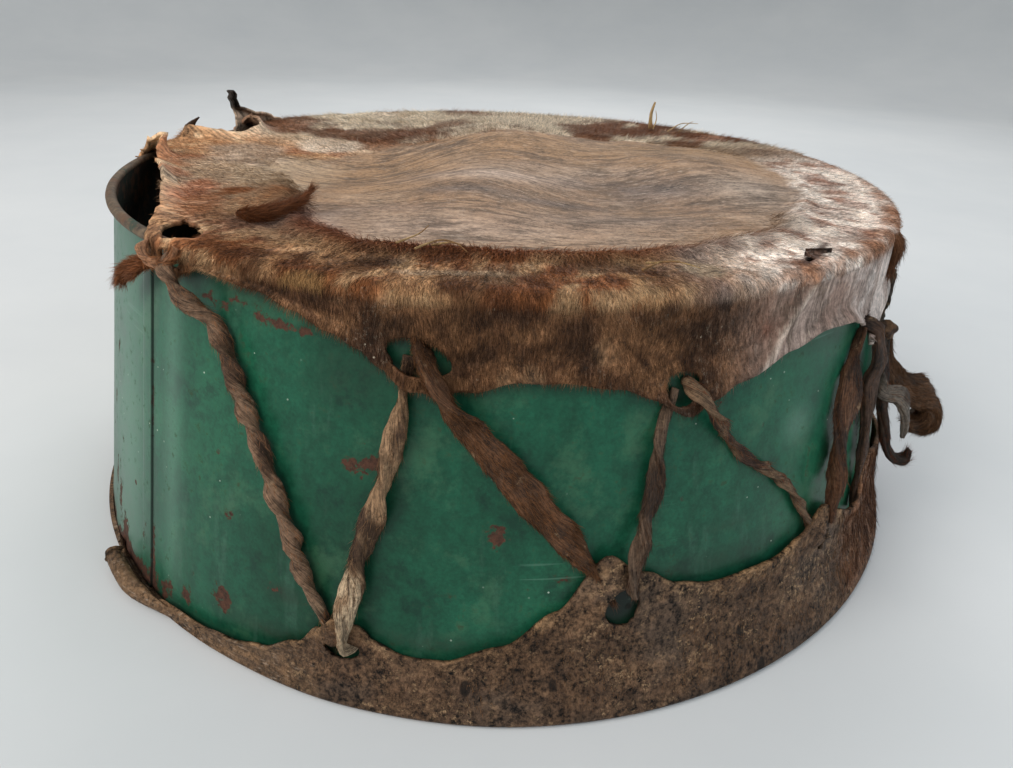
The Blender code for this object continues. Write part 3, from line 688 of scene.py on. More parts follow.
@dataclass
class Shell:
    """The tapered steel wall with its lapped joint and rolled rim."""

    sizes: DrumSizes
    columns: int = 470
    wall_rows: int = 88
    bead_steps: int = 12
    bead_turn: float = 290.0
    seam_angle: float = -44.7
    seam_step: float = 0.0007
    seam_gap: float = 0.0009
    dent: float = 0.0007
    rust: tuple[Patch, ...] = (
        Patch(-34.2, 0.182, 0.004, 0.002), Patch(-31.0, 0.181, 0.006, 0.002), Patch(-28.4, 0.184, 0.006, 0.0016),
        Patch(-25.9, 0.179, 0.007, 0.0022), Patch(-22.6, 0.178, 0.008, 0.002), Patch(-20.4, 0.177, 0.004, 0.002),
        Patch(-13.1, 0.1236, 0.0082, 0.0050, 1.25), Patch(-15.8, 0.1226, 0.0028, 0.0024, 1.1),
        Patch(-30.8, 0.0300, 0.0055, 0.0062, 1.2), Patch(-37.2, 0.0185, 0.0034, 0.0046, 1.1),
        Patch(-30.1, 0.0790, 0.0022, 0.0052, 0.95), Patch(-0.1, 0.0950, 0.0052, 0.0040, 1.1),
        Patch(6.5, 0.0730, 0.0040, 0.0024, 0.8), Patch(-24.2, 0.0488, 0.0035, 0.0020, 0.9),
        Patch(-59.0, 0.0440, 0.0026, 0.0120, 1.1), Patch(-56.6, 0.0300, 0.0030, 0.0140, 1.25),
        Patch(-54.0, 0.0170, 0.0055, 0.0100, 1.2), Patch(-52.0, 0.0080, 0.012, 0.0050, 1.2),
        Patch(-44.4, 0.0230, 0.0016, 0.0260, 1.1), Patch(-46.4, 0.0360, 0.0020, 0.0090, 1.0),
        Patch(-44.6, 0.1150, 0.0008, 0.0300, 0.8), Patch(-41.0, 0.0120, 0.0060, 0.0080, 0.9),
        Patch(-54.9, 0.0742, 0.0015, 0.0030, 1.0), Patch(-46.0, 0.0100, 0.012, 0.0060, 1.0),
        Patch(-58.0, 0.1260, 0.0016, 0.0050, 1.0), Patch(-60.5, 0.0900, 0.0018, 0.0060, 1.0),
        Patch(22.0, 0.1480, 0.0030, 0.0020, 0.8), Patch(31.0, 0.1120, 0.0030, 0.0022, 0.8),
        Patch(96.0, 0.0950, 0.0110, 0.0070, 1.1), Patch(118.0, 0.1300, 0.0060, 0.0040, 1.0),
        Patch(151.0, 0.0850, 0.0090, 0.0100, 1.15), Patch(171.0, 0.1240, 0.0060, 0.0040, 1.0),
        Patch(194.0, 0.1000, 0.0140, 0.0060, 1.15), Patch(226.0, 0.1200, 0.0080, 0.0090, 1.1),
        Patch(246.0, 0.0500, 0.0120, 0.0080, 1.1), Patch(262.0, 0.1500, 0.0060, 0.0040, 1.0),
        Patch(258.0, 0.0100, 0.0500, 0.0060, 1.1), Patch(276.0, 0.0120, 0.0300, 0.0070, 1.2),
        Patch(285.0, 0.0900, 0.0050, 0.0120, 1.1),
    )
    # Dirt, and painted shade: the wide thin bands lie along the hides' edges, where the hides shade the wall, and the
    # patches at 12.3, -8.5 and 17.8 degrees darken it at the hides' slots.
    grime_and_shade: tuple[Patch, ...] = (
        Patch(-23.0, 0.0475, 0.010, 0.0045, 1.0), Patch(-15.6, 0.1622, 0.016, 0.014, 0.55),
        Patch(24.4, 0.0872, 0.012, 0.0022, 0.7), Patch(-44.4, 0.1000, 0.0016, 0.120, 0.6),
        Patch(-34.0, 0.0060, 0.060, 0.0060, 1.0), Patch(-20.0, 0.0240, 0.040, 0.0050, 0.9),
        Patch(-4.0, 0.0380, 0.050, 0.0050, 0.8), Patch(22.0, 0.0700, 0.060, 0.0060, 0.7),
        Patch(-30.0, 0.1900, 0.060, 0.0050, 0.7), Patch(2.0, 0.1650, 0.050, 0.0050, 0.6),
        Patch(40.0, 0.1660, 0.060, 0.0060, 0.6), Patch(42.0, 0.0700, 0.0100, 0.020, 0.8),
        Patch(12.3, 0.0590, 0.0120, 0.0130, 0.9), Patch(-8.5, 0.1700, 0.0140, 0.0060, 0.6),
        Patch(17.8, 0.1590, 0.0100, 0.0070, 0.6),
    )
    shadow: tuple[Patch, ...] = (
        Patch(12.3, 0.0590, 0.0150, 0.0180, 1.10), Patch(-15.6, 0.0310, 0.0110, 0.0080, 0.80),
        Patch(-8.5, 0.1690, 0.0130, 0.0050, 0.60), Patch(17.8, 0.1570, 0.0090, 0.0050, 0.60),
    )
    # Pale, worn and dusty paint. The narrow upright band at -40.1 degrees beside the lap is a painted highlight, and
    # the wide pale strip at -53 degrees is dusty paint that also stands for a painted reflection.
    fade: tuple[Patch, ...] = (
        Patch(-53.0, 0.1300, 0.030, 0.150, 0.48), Patch(-52.0, 0.0400, 0.022, 0.060, 0.30),
        Patch(-40.1, 0.1200, 0.0075, 0.130, 0.50), Patch(34.5, 0.1269, 0.0085, 0.0085, 0.55),
        Patch(120.0, 0.1000, 0.050, 0.120, 0.35), Patch(215.0, 0.1000, 0.060, 0.120, 0.40),
        Patch(-78.0, 0.1200, 0.070, 0.130, 0.50),
    )

    def angles(self) -> np.ndarray:
        """Columns round the wall: even ones, and close ones at the edge of the lap."""
        even = np.arange(self.columns) * 360.0 / self.columns
        near = (self.seam_angle + np.array([-2.6, -2.45, -0.5, -0.3, -0.16, -0.07, 0.0, 0.07, 0.16,
                                                   0.3, 0.5])) % 360.0
        kept = even[np.abs(apart(even, self.seam_angle)) > 0.75]
        return np.sort(np.concatenate((kept, near)))

    def section(self) -> tuple[np.ndarray, np.ndarray, np.ndarray]:
        """Closed section of the sheet: radius, height and whether a point is on the wall's outside."""
        sizes = self.sizes
        heights = np.linspace(sizes.base, sizes.bead_height, self.wall_rows)
        radii = sizes.wall(heights) - sizes.sheet / 2.0
        mean = sizes.bead_radius - sizes.sheet / 2.0
        turn = np.radians(180.0 - self.bead_turn * np.arange(1, self.bead_steps + 1) / self.bead_steps)
        radii = np.concatenate((radii, sizes.bead_centre + mean * np.cos(turn)))
        heights = np.concatenate((heights, sizes.bead_height + mean * np.sin(turn)))
        along = np.stack((np.gradient(radii), np.gradient(heights)), axis=1)
        along /= np.linalg.norm(along, axis=1)[:, None]
        half = sizes.sheet / 2.0
        outer = np.stack((radii + along[:, 1] * half, heights - along[:, 0] * half), axis=1)
        inner = np.stack((radii - along[:, 1] * half, heights + along[:, 0] * half), axis=1)[::-1]
        inner = np.concatenate((inner[:self.bead_steps], inner[self.bead_steps::4], inner[-1:]))
        ring = np.concatenate((outer, inner))
        outside = np.arange(len(ring)) < self.wall_rows
        return ring[:, 0], ring[:, 1], outside

    def seam_offset(self, angle: np.ndarray) -> np.ndarray:
        """How far the outer lap stands out, with the dark gap at its edge."""
        away = apart(angle, self.seam_angle)
        lap = self.seam_step * (ease(away, -2.6, -2.4) - ease(away, -0.12, 0.0))
        gap = self.seam_gap * np.clip(1.0 - np.abs(away - 0.03) / 0.10, 0.0, 1.0)
        return lap - gap

    def build(self) -> bpy.types.Object:
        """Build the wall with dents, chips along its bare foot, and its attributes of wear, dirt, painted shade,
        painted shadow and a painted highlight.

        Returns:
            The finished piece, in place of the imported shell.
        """
        sizes = self.sizes
        radius, height, outside = self.section()
        angle = self.angles()[None, :]
        rows = len(radius)
        height = np.repeat(height[:, None], angle.shape[1], axis=1)
        radius = np.repeat(radius[:, None], angle.shape[1], axis=1)
        on_wall = (height < sizes.bead_height - 0.002) & (np.abs(radius - sizes.wall(height)) < 0.003)
        place = spin(angle, radius, height)
        bend = layered_noise(place * np.array((1.0, 1.0, 0.7)), 0.085, 3, 5) * self.dent
        bend *= ease(height, sizes.base, sizes.base + 0.02) * ease(height, sizes.top - 0.004, sizes.top - 0.03)
        radius = radius + np.where(on_wall, bend, 0.0)
        radius = radius + np.where(outside[:, None] & on_wall, self.seam_offset(angle), 0.0)
        ragged = np.maximum(0.0, layered_noise(spin(angle, sizes.bottom_radius, 0.0), 0.012, 4, 11))
        ragged *= 0.0075 * ease(np.abs(apart(angle, -72.0)), 34.0, 20.0)
        height = height + ragged * ease(height, sizes.base + 0.02, sizes.base)
        place = spin(angle, radius, height).reshape(-1, 3)
        flat_angle = np.repeat(angle, rows, axis=0).ravel()
        flat_height = height.ravel()
        fields = {}
        for label, patches in (("rust", self.rust), ("grime_and_shade", self.grime_and_shade), ("faded_and_highlight", self.fade)):
            field_value = sum(patch.weight(sizes, flat_angle, flat_height) for patch in patches)
            fields[label] = np.clip(field_value, 0.0, 1.3)
        # The dark line along the lap; painted shadow inside the hides' slots joins it in the same attribute below.
        seam = np.exp(-(apart(flat_angle, self.seam_angle) / 0.17) ** 2) * (flat_height < sizes.bead_height)
        shadow = [patch.weight(sizes, flat_angle, flat_height) for patch in self.shadow]
        fields["seam"] = np.clip(np.max([seam, *shadow], axis=0), 0.0, 1.0)
        foot = ease(flat_height, 0.014, sizes.base) * ease(np.abs(apart(flat_angle, -80.0)), 44.0, 24.0)
        fields["rust"] = np.clip(fields["rust"] + foot, 0.0, 1.3)
        faces = grid_faces(rows, angle.shape[1], wrap_rows=True)
        mesh = make_mesh("shell_wall", place, faces, fields)
        steel = RustySteel()
        inside = RustySteel("dark_inside_steel", (54, 52, 42), (22, 22, 18), (30, 48, 38), 0.7, 0.8)
        piece = link_object("shell_wall", mesh, ShellPaint().material(), steel.material(), inside.material())
        face_row = np.repeat(np.arange(rows), angle.shape[1])
        kind = np.where(face_row < self.wall_rows - 1, 0, 1)
        kind = np.where(face_row >= self.wall_rows + self.bead_steps * 2, 2, kind)
        mesh.polygons.foreach_set("material_index", kind.astype(np.int32))
        return settle(piece, Slot.PAINT, "shell")

    def dress_wire(self) -> None:
        """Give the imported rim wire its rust."""
        wire_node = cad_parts["rim_wire"]
        wire_node.data.materials.clear()
        wire_node.data.materials.append(RustySteel("rusted_wire", (86, 64, 46), (40, 28, 22), (60, 44, 32)).material())


@dataclass(frozen=True)
class Hole:
    """A slot in a hide: angle and height of its middle, half width, half height and tilt in degrees."""

    angle: float
    height: float
    across: float = 0.0088
    tall: float = 0.0052
    tilt: float = 0.0
    strap: float = 0.0

    def bulge(self, radius: float, angle: np.ndarray, height: np.ndarray, tip: float) -> np.ndarray:
        """How far the ear's band stands out over the strap that runs behind it.

        Args:
            radius: the skirt's radius here.
            angle, height: the points.
            tip: 1 for an ear that points up, -1 for one that points down.

        Returns:
            The share of the strap's thickness, from 0 to 1.
        """
        if not self.strap:
            return np.zeros(np.broadcast(angle, height).shape)
        over = np.radians(apart(angle, self.angle)) * radius - self.strap
        past = (height - self.height) * tip
        return np.exp(-(over / 0.0100) ** 2) * ease(past, -0.006, 0.004)

    def distance(self, radius: float, angle: np.ndarray, height: np.ndarray) -> np.ndarray:
        """Rough signed distance to the slot's edge for points on the skirt, negative inside."""
        over = np.radians(apart(angle, self.angle)) * radius
        up = height - self.height
        turn = math.radians(self.tilt)
        along = over * math.cos(turn) + up * math.sin(turn)
        cross = up * math.cos(turn) - over * math.sin(turn)
        return (np.hypot(along / self.across, cross / self.tall) - 1.0) * min(self.across, self.tall)


@dataclass
class Skin:
    """A hide on a polar grid: its middle, its turn over the edge and its skirt down to a cut edge."""

    sizes: DrumSizes
    columns: int = 480
    thickness: float = 0.0022

    def angles(self) -> np.ndarray:
        """Columns of the grid."""
        return np.arange(self.columns) * 360.0 / self.columns

    def cut(self, points: np.ndarray, faces: np.ndarray, inside: np.ndarray,
            pull: np.ndarray) -> tuple[np.ndarray, np.ndarray]:
        """Take away what lies inside the cuts and bring the ragged edge onto their outline.

        Args:
            points: the grid's vertices.
            faces: its faces.
            inside: signed distance of each vertex to the nearest cut, negative inside.
            pull: where each vertex inside a cut would lie on the outline.

        Returns:
            The moved vertices and the faces that are left, still numbered as before.
        """
        gone = inside < 0.0
        kept = faces[~gone[faces].all(axis=1)]
        moved = np.where(gone[:, None], pull, points)
        return moved, kept

    def slide_out(self, points: np.ndarray, distance: np.ndarray, shape: tuple[int, int]) -> np.ndarray:
        """Move each vertex along the surface, up the slope of a distance, until the distance is 0.

        Args:
            points: the grid's vertices, row by row.
            distance: signed distance of each vertex.
            shape: rows and columns of the grid.

        Returns:
            The moved vertices.
        """
        grid = points.reshape(*shape, 3)
        value = distance.reshape(shape)
        down = np.gradient(grid, axis=0)
        over = (np.roll(grid, -1, axis=1) - np.roll(grid, 1, axis=1)) / 2.0
        rise_down = np.gradient(value, axis=0)
        rise_over = (np.roll(value, -1, axis=1) - np.roll(value, 1, axis=1)) / 2.0
        length_down = np.maximum(np.linalg.norm(down, axis=2), 1e-6)
        length_over = np.maximum(np.linalg.norm(over, axis=2), 1e-6)
        slope_down, slope_over = rise_down / length_down, rise_over / length_over
        steep = np.maximum(slope_down ** 2 + slope_over ** 2, 0.04)
        step = (-value / steep)[..., None]
        moved = grid + step * (slope_down / length_down)[..., None] * down
        moved = moved + step * (slope_over / length_over)[..., None] * over
        limit = np.linalg.norm(moved - grid, axis=2)
        scale = np.minimum(1.0, 0.006 / np.maximum(limit, 1e-9))[..., None]
        return (grid + (moved - grid) * scale).reshape(-1, 3)

    def thicken(self, piece: bpy.types.Object) -> bpy.types.Object:
        """Give a skin its thickness, inwards from its outer face, and close its edges."""
        step = piece.modifiers.new("thickness", "SOLIDIFY")
        step.thickness = self.thickness
        step.offset = -1.0
        step.use_rim = True
        return piece


def packed_faces(points: np.ndarray, faces: np.ndarray,
                 fields: dict[str, np.ndarray]) -> tuple[np.ndarray, np.ndarray, dict[str, np.ndarray]]:
    """Drop the vertices that no face uses.

    Args:
        points: vertices.
        faces: faces that use some of them.
        fields: values for each vertex.

    Returns:
        The used vertices, the faces with new numbers, and the values of the used vertices.
    """
    used = np.unique(faces)
    number = np.full(len(points), -1)
    number[used] = np.arange(len(used))
    return points[used], number[faces], {label: values[used] for label, values in fields.items()}


def tint(*stops: tuple[np.ndarray, Colour]) -> np.ndarray:
    """Lay colours over each other.

    Args:
        stops: how strongly each colour covers what lies under it, and the colour.

    Returns:
        One linear colour for each point.
    """
    total = None
    for weight, colour in stops:
        layer = np.array(shade(*colour))
        if total is None:
            total = np.ones((len(weight), 1)) * layer
        strength = np.clip(weight, 0.0, 1.0)[:, None]
        total = total * (1.0 - strength) + layer * strength
    return total


@dataclass(frozen=True)
class Spot:
    """A coloured place on the upper hide: x, y, reach along x and y, colour and strength."""

    x: float
    y: float
    reach_x: float
    reach_y: float
    colour: Colour
    strength: float = 0.9
    soft: bool = False

    def weight(self, points: np.ndarray, ragged: np.ndarray) -> np.ndarray:
        """How strongly each point takes the colour, with a ragged or a soft edge."""
        away = np.hypot((points[:, 0] - self.x) / self.reach_x, (points[:, 1] - self.y) / self.reach_y)
        if self.soft:
            return self.strength * np.exp(-(away + ragged * 0.3) ** 2)
        return self.strength * ease(away + ragged * 0.45, 1.15, 0.75)


def weld(mesh: bpy.types.Mesh) -> None:
    """Join the vertices that share a place, as at the middle of a polar grid."""
    shape = bmesh.new()
    shape.from_mesh(mesh)
    bmesh.ops.remove_doubles(shape, verts=shape.verts, dist=1e-6)
    shape.to_mesh(mesh)
    shape.free()
    mesh.update()


def bake(piece: bpy.types.Object) -> None:
    """Turn a piece and its modifiers into a plain mesh."""
    graph = bpy.context.evaluated_depsgraph_get()
    plain = bpy.data.meshes.new_from_object(piece.evaluated_get(graph), preserve_all_data_layers=True,
                                            depsgraph=graph)
    piece.modifiers.clear()
    old = piece.data
    piece.data = plain
    bpy.data.meshes.remove(old)


def combed(grid: np.ndarray, sway: np.ndarray) -> np.ndarray:
    """Which way hair lies on a grid: down its rows, turned aside by an angle.

    Args:
        grid: points, rows by columns by three.
        sway: degrees to turn, one for each point.

    Returns:
        One direction for each point.
    """
    down = np.gradient(grid, axis=0)
    over = np.roll(grid, -1, axis=1) - np.roll(grid, 1, axis=1)
    down /= np.maximum(np.linalg.norm(down, axis=2), 1e-9)[..., None]
    over /= np.maximum(np.linalg.norm(over, axis=2), 1e-9)[..., None]
    turn = np.radians(sway).reshape(grid.shape[:2])[..., None]
    return (down * np.cos(turn) + over * np.sin(turn)).reshape(-1, 3)


@dataclass
class UpperHead(Skin):
    """The upper hide: a bare waved middle, a haired ring, and a skirt cut into slotted ears."""

    shoulder: float = 0.006
    top_rows: int = 42
    wide_rows: int = 33
    wide_share: float = 0.917
    shoulder_rows: int = 6
    skirt_rows: int = 26
    ragged_edge: float = 0.0011
    edge: tuple[Point, ...] = (
        (-66.0, 0.1940), (-47.0, 0.1935), (-42.5, 0.1900), (-38.5, 0.1868), (-35.5, 0.1925), (-32.9, 0.1985),
        (-29.0, 0.1965), (-25.3, 0.1950), (-21.0, 0.1890), (-17.3, 0.1820), (-14.5, 0.1760), (-12.2, 0.1700),
        (-9.0, 0.1620), (-6.8, 0.1600), (-3.5, 0.1620), (1.2, 0.1670), (5.0, 0.1670), (10.9, 0.1630),
        (14.0, 0.1580), (18.8, 0.1490), (21.5, 0.1530), (24.4, 0.1595), (31.3, 0.1690), (38.3, 0.1745),
        (42.0, 0.1740), (46.0, 0.1680), (49.8, 0.1515), (52.5, 0.1545), (56.0, 0.1620), (62.0, 0.1670),
        (68.0, 0.1640), (73.0, 0.1505), (78.5, 0.1630), (86.0, 0.1700), (94.0, 0.1640), (99.0, 0.1480),
        (104.5, 0.1640), (112.0, 0.1680), (121.0, 0.1660), (127.0, 0.1520), (132.5, 0.1660), (142.0, 0.1700),
        (151.0, 0.1650), (157.0, 0.1490), (163.0, 0.1640), (173.0, 0.1690), (182.0, 0.1660), (188.0, 0.1510),
        (194.0, 0.1660), (203.0, 0.1700), (212.0, 0.1670), (218.0, 0.1530), (224.0, 0.1690), (235.0, 0.1780),
        (255.0, 0.1920), (270.0, 0.1930),
    )
    slots: tuple[Hole, ...] = (
        Hole(-38.5, 0.1965, 0.0085, 0.0046), Hole(-8.5, 0.1750, 0.0135, 0.0070, -14.0, -0.0052),
        Hole(17.8, 0.1610, 0.0088, 0.0072, 0.0, -0.0042), Hole(48.6, 0.1620, 0.0088, 0.0052, 0.0, -0.0042),
        Hole(73.0, 0.1620), Hole(99.0, 0.1600, 0.0088, 0.0052, 0.0, -0.0042),
        Hole(127.0, 0.1640, 0.0088, 0.0052, 0.0, -0.0042), Hole(157.0, 0.1610, 0.0088, 0.0052, 0.0, -0.0042),
        Hole(188.0, 0.1630, 0.0088, 0.0052, 0.0, -0.0042), Hole(218.0, 0.1650, 0.0088, 0.0052, 0.0, -0.0042),
    )
    long_tear: tuple[Point, ...] = (
        (-0.360, -0.300), (-0.176, -0.190), (-0.168, -0.176), (-0.169, -0.155), (-0.177, -0.135), (-0.187, -0.110),
        (-0.199, -0.080), (-0.213, -0.048), (-0.228, -0.018), (-0.240, 0.000), (-0.262, 0.012), (-0.360, 0.020),
    )
    short_tear: tuple[Point, ...] = (
        (-0.360, 0.075), (-0.243, 0.058), (-0.226, 0.052), (-0.208, 0.055), (-0.192, 0.066), (-0.186, 0.080),
        (-0.192, 0.096), (-0.205, 0.110), (-0.224, 0.118), (-0.360, 0.200),
    )
    rent: tuple[Point, ...] = (
        (0.1318, -0.2000), (0.1374, -0.1898), (0.1442, -0.1802), (0.1552, -0.1665), (0.1474, -0.1817),
        (0.1394, -0.1931),
    )
    loop_hole: tuple[Point, ...] = (
        (-0.1590, -0.1868), (-0.1608, -0.1765), (-0.1560, -0.1675), (-0.1462, -0.1690), (-0.1398, -0.1815),
        (-0.1402, -0.1905), (-0.1500, -0.1908),
    )
    slit: tuple[Point, ...] = ((-0.066, -0.1290), (-0.055, -0.1268), (-0.042, -0.1262), (-0.054, -0.1290))
    relief: tuple[tuple[float, ...], ...] = (
        (0.005, 0.100, 0.0090, 0.055, 0.090), (0.130, 0.010, 0.0055, 0.055, 0.060),
        (-0.100, -0.020, -0.0070, 0.060, 0.075), (0.060, -0.090, -0.0035, 0.055, 0.060),
        (-0.020, -0.060, 0.0045, 0.040, 0.070), (-0.135, -0.120, 0.0040, 0.020, 0.022),
    )
    middle: tuple[Point, ...] = (
        (-0.119, -0.103), (-0.140, -0.010), (-0.126, 0.022), (-0.096, 0.040), (-0.048, 0.068), (0.000, 0.082),
        (0.055, 0.096), (0.110, 0.100), (0.152, 0.084), (0.178, 0.045), (0.186, -0.029), (0.167, -0.096), (0.131, -0.155), (0.089, -0.182),
        (0.041, -0.197), (-0.004, -0.199), (-0.040, -0.196), (-0.072, -0.189), (-0.094, -0.170),
    )
    spots: tuple[Spot, ...] = (
        Spot(-0.160, -0.060, 0.046, 0.075, (188, 162, 134)), Spot(-0.135, -0.030, 0.034, 0.050, (182, 158, 130), 0.8),
        Spot(-0.147, -0.100, 0.013, 0.014, (150, 92, 52)), Spot(-0.196, -0.070, 0.010, 0.016, (176, 116, 80), 0.8),
        Spot(-0.172, -0.100, 0.012, 0.030, (176, 112, 78), 0.8), Spot(-0.158, -0.135, 0.012, 0.022, (168, 112, 74), 0.8),
        Spot(-0.098, -0.152, 0.014, 0.012, (192, 168, 140), 0.8), Spot(-0.176, 0.010, 0.030, 0.030, (184, 158, 134)),
        Spot(-0.085, -0.030, 0.055, 0.060, (146, 112, 78), 0.8, True), Spot(0.000, 0.040, 0.080, 0.045, (142, 108, 74), 0.8, True),
        # The two soft pale spots on the next line lie on the front of the middle ridge: painted highlight.
        Spot(-0.004, -0.048, 0.046, 0.017, (184, 160, 142), 0.9, True), Spot(0.050, -0.020, 0.050, 0.014, (168, 146, 128), 0.7, True),
        Spot(-0.024, -0.090, 0.032, 0.008, (96, 82, 74), 0.9, True), Spot(0.026, -0.102, 0.036, 0.008, (96, 82, 74), 0.9, True),
        Spot(0.084, -0.060, 0.052, 0.030, (100, 86, 78), 0.9, True), Spot(0.060, -0.130, 0.060, 0.016, (112, 97, 87), 0.7, True),
        Spot(0.135, 0.055, 0.070, 0.034, (140, 107, 70), 0.9, True), Spot(0.152, -0.060, 0.028, 0.040, (160, 142, 126), 0.8, True),
        Spot(-0.030, -0.162, 0.090, 0.024, (168, 142, 122), 0.8, True), Spot(-0.100, -0.150, 0.022, 0.024, (136, 124, 120), 0.7, True),
        Spot(-0.060, -0.125, 0.030, 0.010, (130, 104, 86), 0.7, True),
        Spot(-0.075, 0.180, 0.085, 0.045, (214, 196, 170), 0.9, True), Spot(0.020, 0.165, 0.055, 0.055, (218, 200, 174)),
        Spot(-0.100, 0.092, 0.054, 0.026, (112, 70, 42)), Spot(0.088, 0.152, 0.046, 0.028, (120, 74, 44)),
        Spot(-0.128, 0.055, 0.022, 0.022, (212, 190, 166), 0.9), Spot(0.206, -0.026, 0.010, 0.022, (150, 104, 80), 0.6),
        Spot(0.203, -0.085, 0.009, 0.015, (150, 104, 80), 0.6), Spot(0.180, -0.146, 0.009, 0.012, (150, 104, 80), 0.6),
        Spot(0.082, -0.212, 0.010, 0.014, (196, 174, 148)), Spot(-0.020, -0.2275, 0.030, 0.004, (182, 154, 124), 0.8),
        Spot(-0.088, -0.232, 0.014, 0.006, (172, 132, 86), 0.9), Spot(-0.055, -0.214, 0.012, 0.010, (78, 52, 36), 0.8),
        Spot(0.040, -0.214, 0.020, 0.008, (96, 62, 42), 0.8), Spot(0.128, -0.196, 0.010, 0.006, (120, 80, 56), 0.6),
    )

    def surface(self) -> tuple[np.ndarray, np.ndarray]:
        """Outer face of the hide before it is cut.

        Returns:
            Points, rows by columns by three, and how far down the skirt each row lies.
        """
        sizes = self.sizes
        angle = self.angles()[None, :]
        level = sizes.top + sizes.fit + sizes.hide
        flat = sizes.rim_corner + sizes.hide - self.shoulder
        inner_rows = np.linspace(0.0, self.wide_share, self.wide_rows + 1)
        outer_rows = np.linspace(self.wide_share, 1.0, self.top_rows - self.wide_rows + 1)[1:]
        rows = np.concatenate((inner_rows, outer_rows))[:, None]
        top = spin(angle, flat * rows ** 0.85, level)
        turn = np.radians(90.0 * np.arange(1, self.shoulder_rows + 1) / self.shoulder_rows)[:, None]
        bend = spin(angle, flat + self.shoulder * np.sin(turn), level - self.shoulder * (1.0 - np.cos(turn)))
        start = level - self.shoulder
        rim = spin(angle, sizes.rim_corner, 0.0)
        edge = ring_value(self.edge, angle) + layered_noise(rim, 0.014, 4, 31) * self.ragged_edge
        edge = np.minimum(edge, start - 0.0004)
        share = (np.arange(1, self.skirt_rows + 1) / self.skirt_rows)[:, None]
        height = start + (edge - start) * share
        skirt = spin(angle, sizes.skirt(height) + sizes.hide, height)
        down = np.concatenate((np.zeros(self.top_rows + 1 + self.shoulder_rows), share[:, 0]))
        return np.concatenate((top, bend, skirt)), down

    def waves(self, grid: np.ndarray, down: np.ndarray) -> np.ndarray:
        """Give the surface its dried waves, its swollen ring and its lifted skirt edge."""
        sizes = self.sizes
        x, y = grid[..., 0], grid[..., 1]
        radius = np.hypot(x, y)
        fade = np.clip(1.0 - (radius / sizes.top_radius) ** 6, 0.0, 1.0)
        rise = sum(height * np.exp(-((x - cx) / wide) ** 2 - ((y - cy) / deep) ** 2)
                   for cx, cy, height, wide, deep in self.relief)
        stretched = grid * np.array((0.55, 1.3, 1.0))
        rise = rise + 0.0015 * layered_noise(stretched, 0.040, 3, 3) + 0.0005 * layered_noise(grid, 0.011, 2, 9)
        ring = ease(radius, 0.195, 0.215) * ease(radius, 0.243, 0.236)
        rise = rise * fade + ring * 0.0011 * np.maximum(0.0, layered_noise(grid, 0.017, 3, 17) + 0.3)
        edge = outline_distance(x.ravel(), y.ravel(), np.array(self.middle)).reshape(x.shape)
        edge = edge + 0.007 * layered_noise(grid, 0.020, 4, 21)
        rise = rise + 0.0024 * np.exp(-((edge - 0.004) / 0.006) ** 2) * ease(y, 0.02, -0.10)
        rise = np.where(down[:, None] > 0.0, 0.0, rise)
        grid = grid + rise[..., None] * np.array((0.0, 0.0, 1.0))
        angle = angle_of(grid)
        near_ear = np.max([np.exp(-(apart(angle, hole.angle) / 6.5) ** 2) for hole in self.slots], axis=0)
        lift = down[:, None] * (0.0009 * np.maximum(0.0, layered_noise(grid, 0.021, 3, 41) + 0.2)
                                + 0.0022 * ease(down[:, None], 0.60, 1.0) * (1.0 - near_ear)
                                + 0.0045 * ease(down[:, None], 0.75, 1.0) * np.exp(-((angle - 42.0) / 5.0) ** 2))
        crease = np.exp(-((angle - 30.9 - (grid[..., 2] - 0.183) * 174.0) / 0.9) ** 2) * ease(grid[..., 2], 0.163, 0.172)
        lift = lift + 0.0018 * crease
        strap = np.max([hole.bulge(sizes.rim_corner, angle, grid[..., 2], -1.0) for hole in self.slots], axis=0)
        lift = lift + 0.0048 * strap * ease(down[:, None], 0.0, 0.2)
        outward = grid * np.array((1.0, 1.0, 0.0)) / np.maximum(radius, 1e-6)[..., None]
        return grid + outward * lift[..., None]

    def rolled(self, points: np.ndarray, distance: np.ndarray) -> np.ndarray:
        """Roll the torn edge up and back, most at the free lobe.

        Args:
            points: vertices.
            distance: how far each lies from the nearest tear.

        Returns:
            The moved vertices.
        """
        step = 1e-4
        ahead = self.tear_distance(points + np.array((step, 0.0, 0.0))) - self.tear_distance(points)
        aside = self.tear_distance(points + np.array((0.0, step, 0.0))) - self.tear_distance(points)
        toward = -np.stack((ahead, aside, np.zeros(len(points))), axis=1)
        toward /= np.maximum(np.linalg.norm(toward, axis=1), 1e-12)[:, None]
        angle = angle_of(points)
        lobe = ease(np.abs(apart(angle, -93.0)), 13.0, 5.0)
        wave = 0.5 + 0.5 * smooth_noise(points, 0.022, 77)
        amount = lobe + (1.0 - lobe) * (0.10 + 0.42 * wave)
        on_top = ease(np.hypot(points[:, 0], points[:, 1]), 0.243, 0.232)
        width, curl = 0.017, 0.0062
        past = np.clip(width - np.maximum(distance, 0.0), 0.0, None)
        turn = np.maximum(amount * on_top * past / curl, 1e-6)
        along = past * (np.sin(turn) / turn - 1.0)
        rise = past * (1.0 - np.cos(turn)) / turn
        return points + toward * along[:, None] + rise[:, None] * np.array((0.0, 0.0, 1.0))

    def tear_distance(self, points: np.ndarray) -> np.ndarray:
        """Signed distance to the nearest tear, seen from above, negative inside."""
        outlines = (self.long_tear, self.short_tear)
        return np.min([outline_distance(points[:, 0], points[:, 1], np.array(one)) for one in outlines], axis=0)

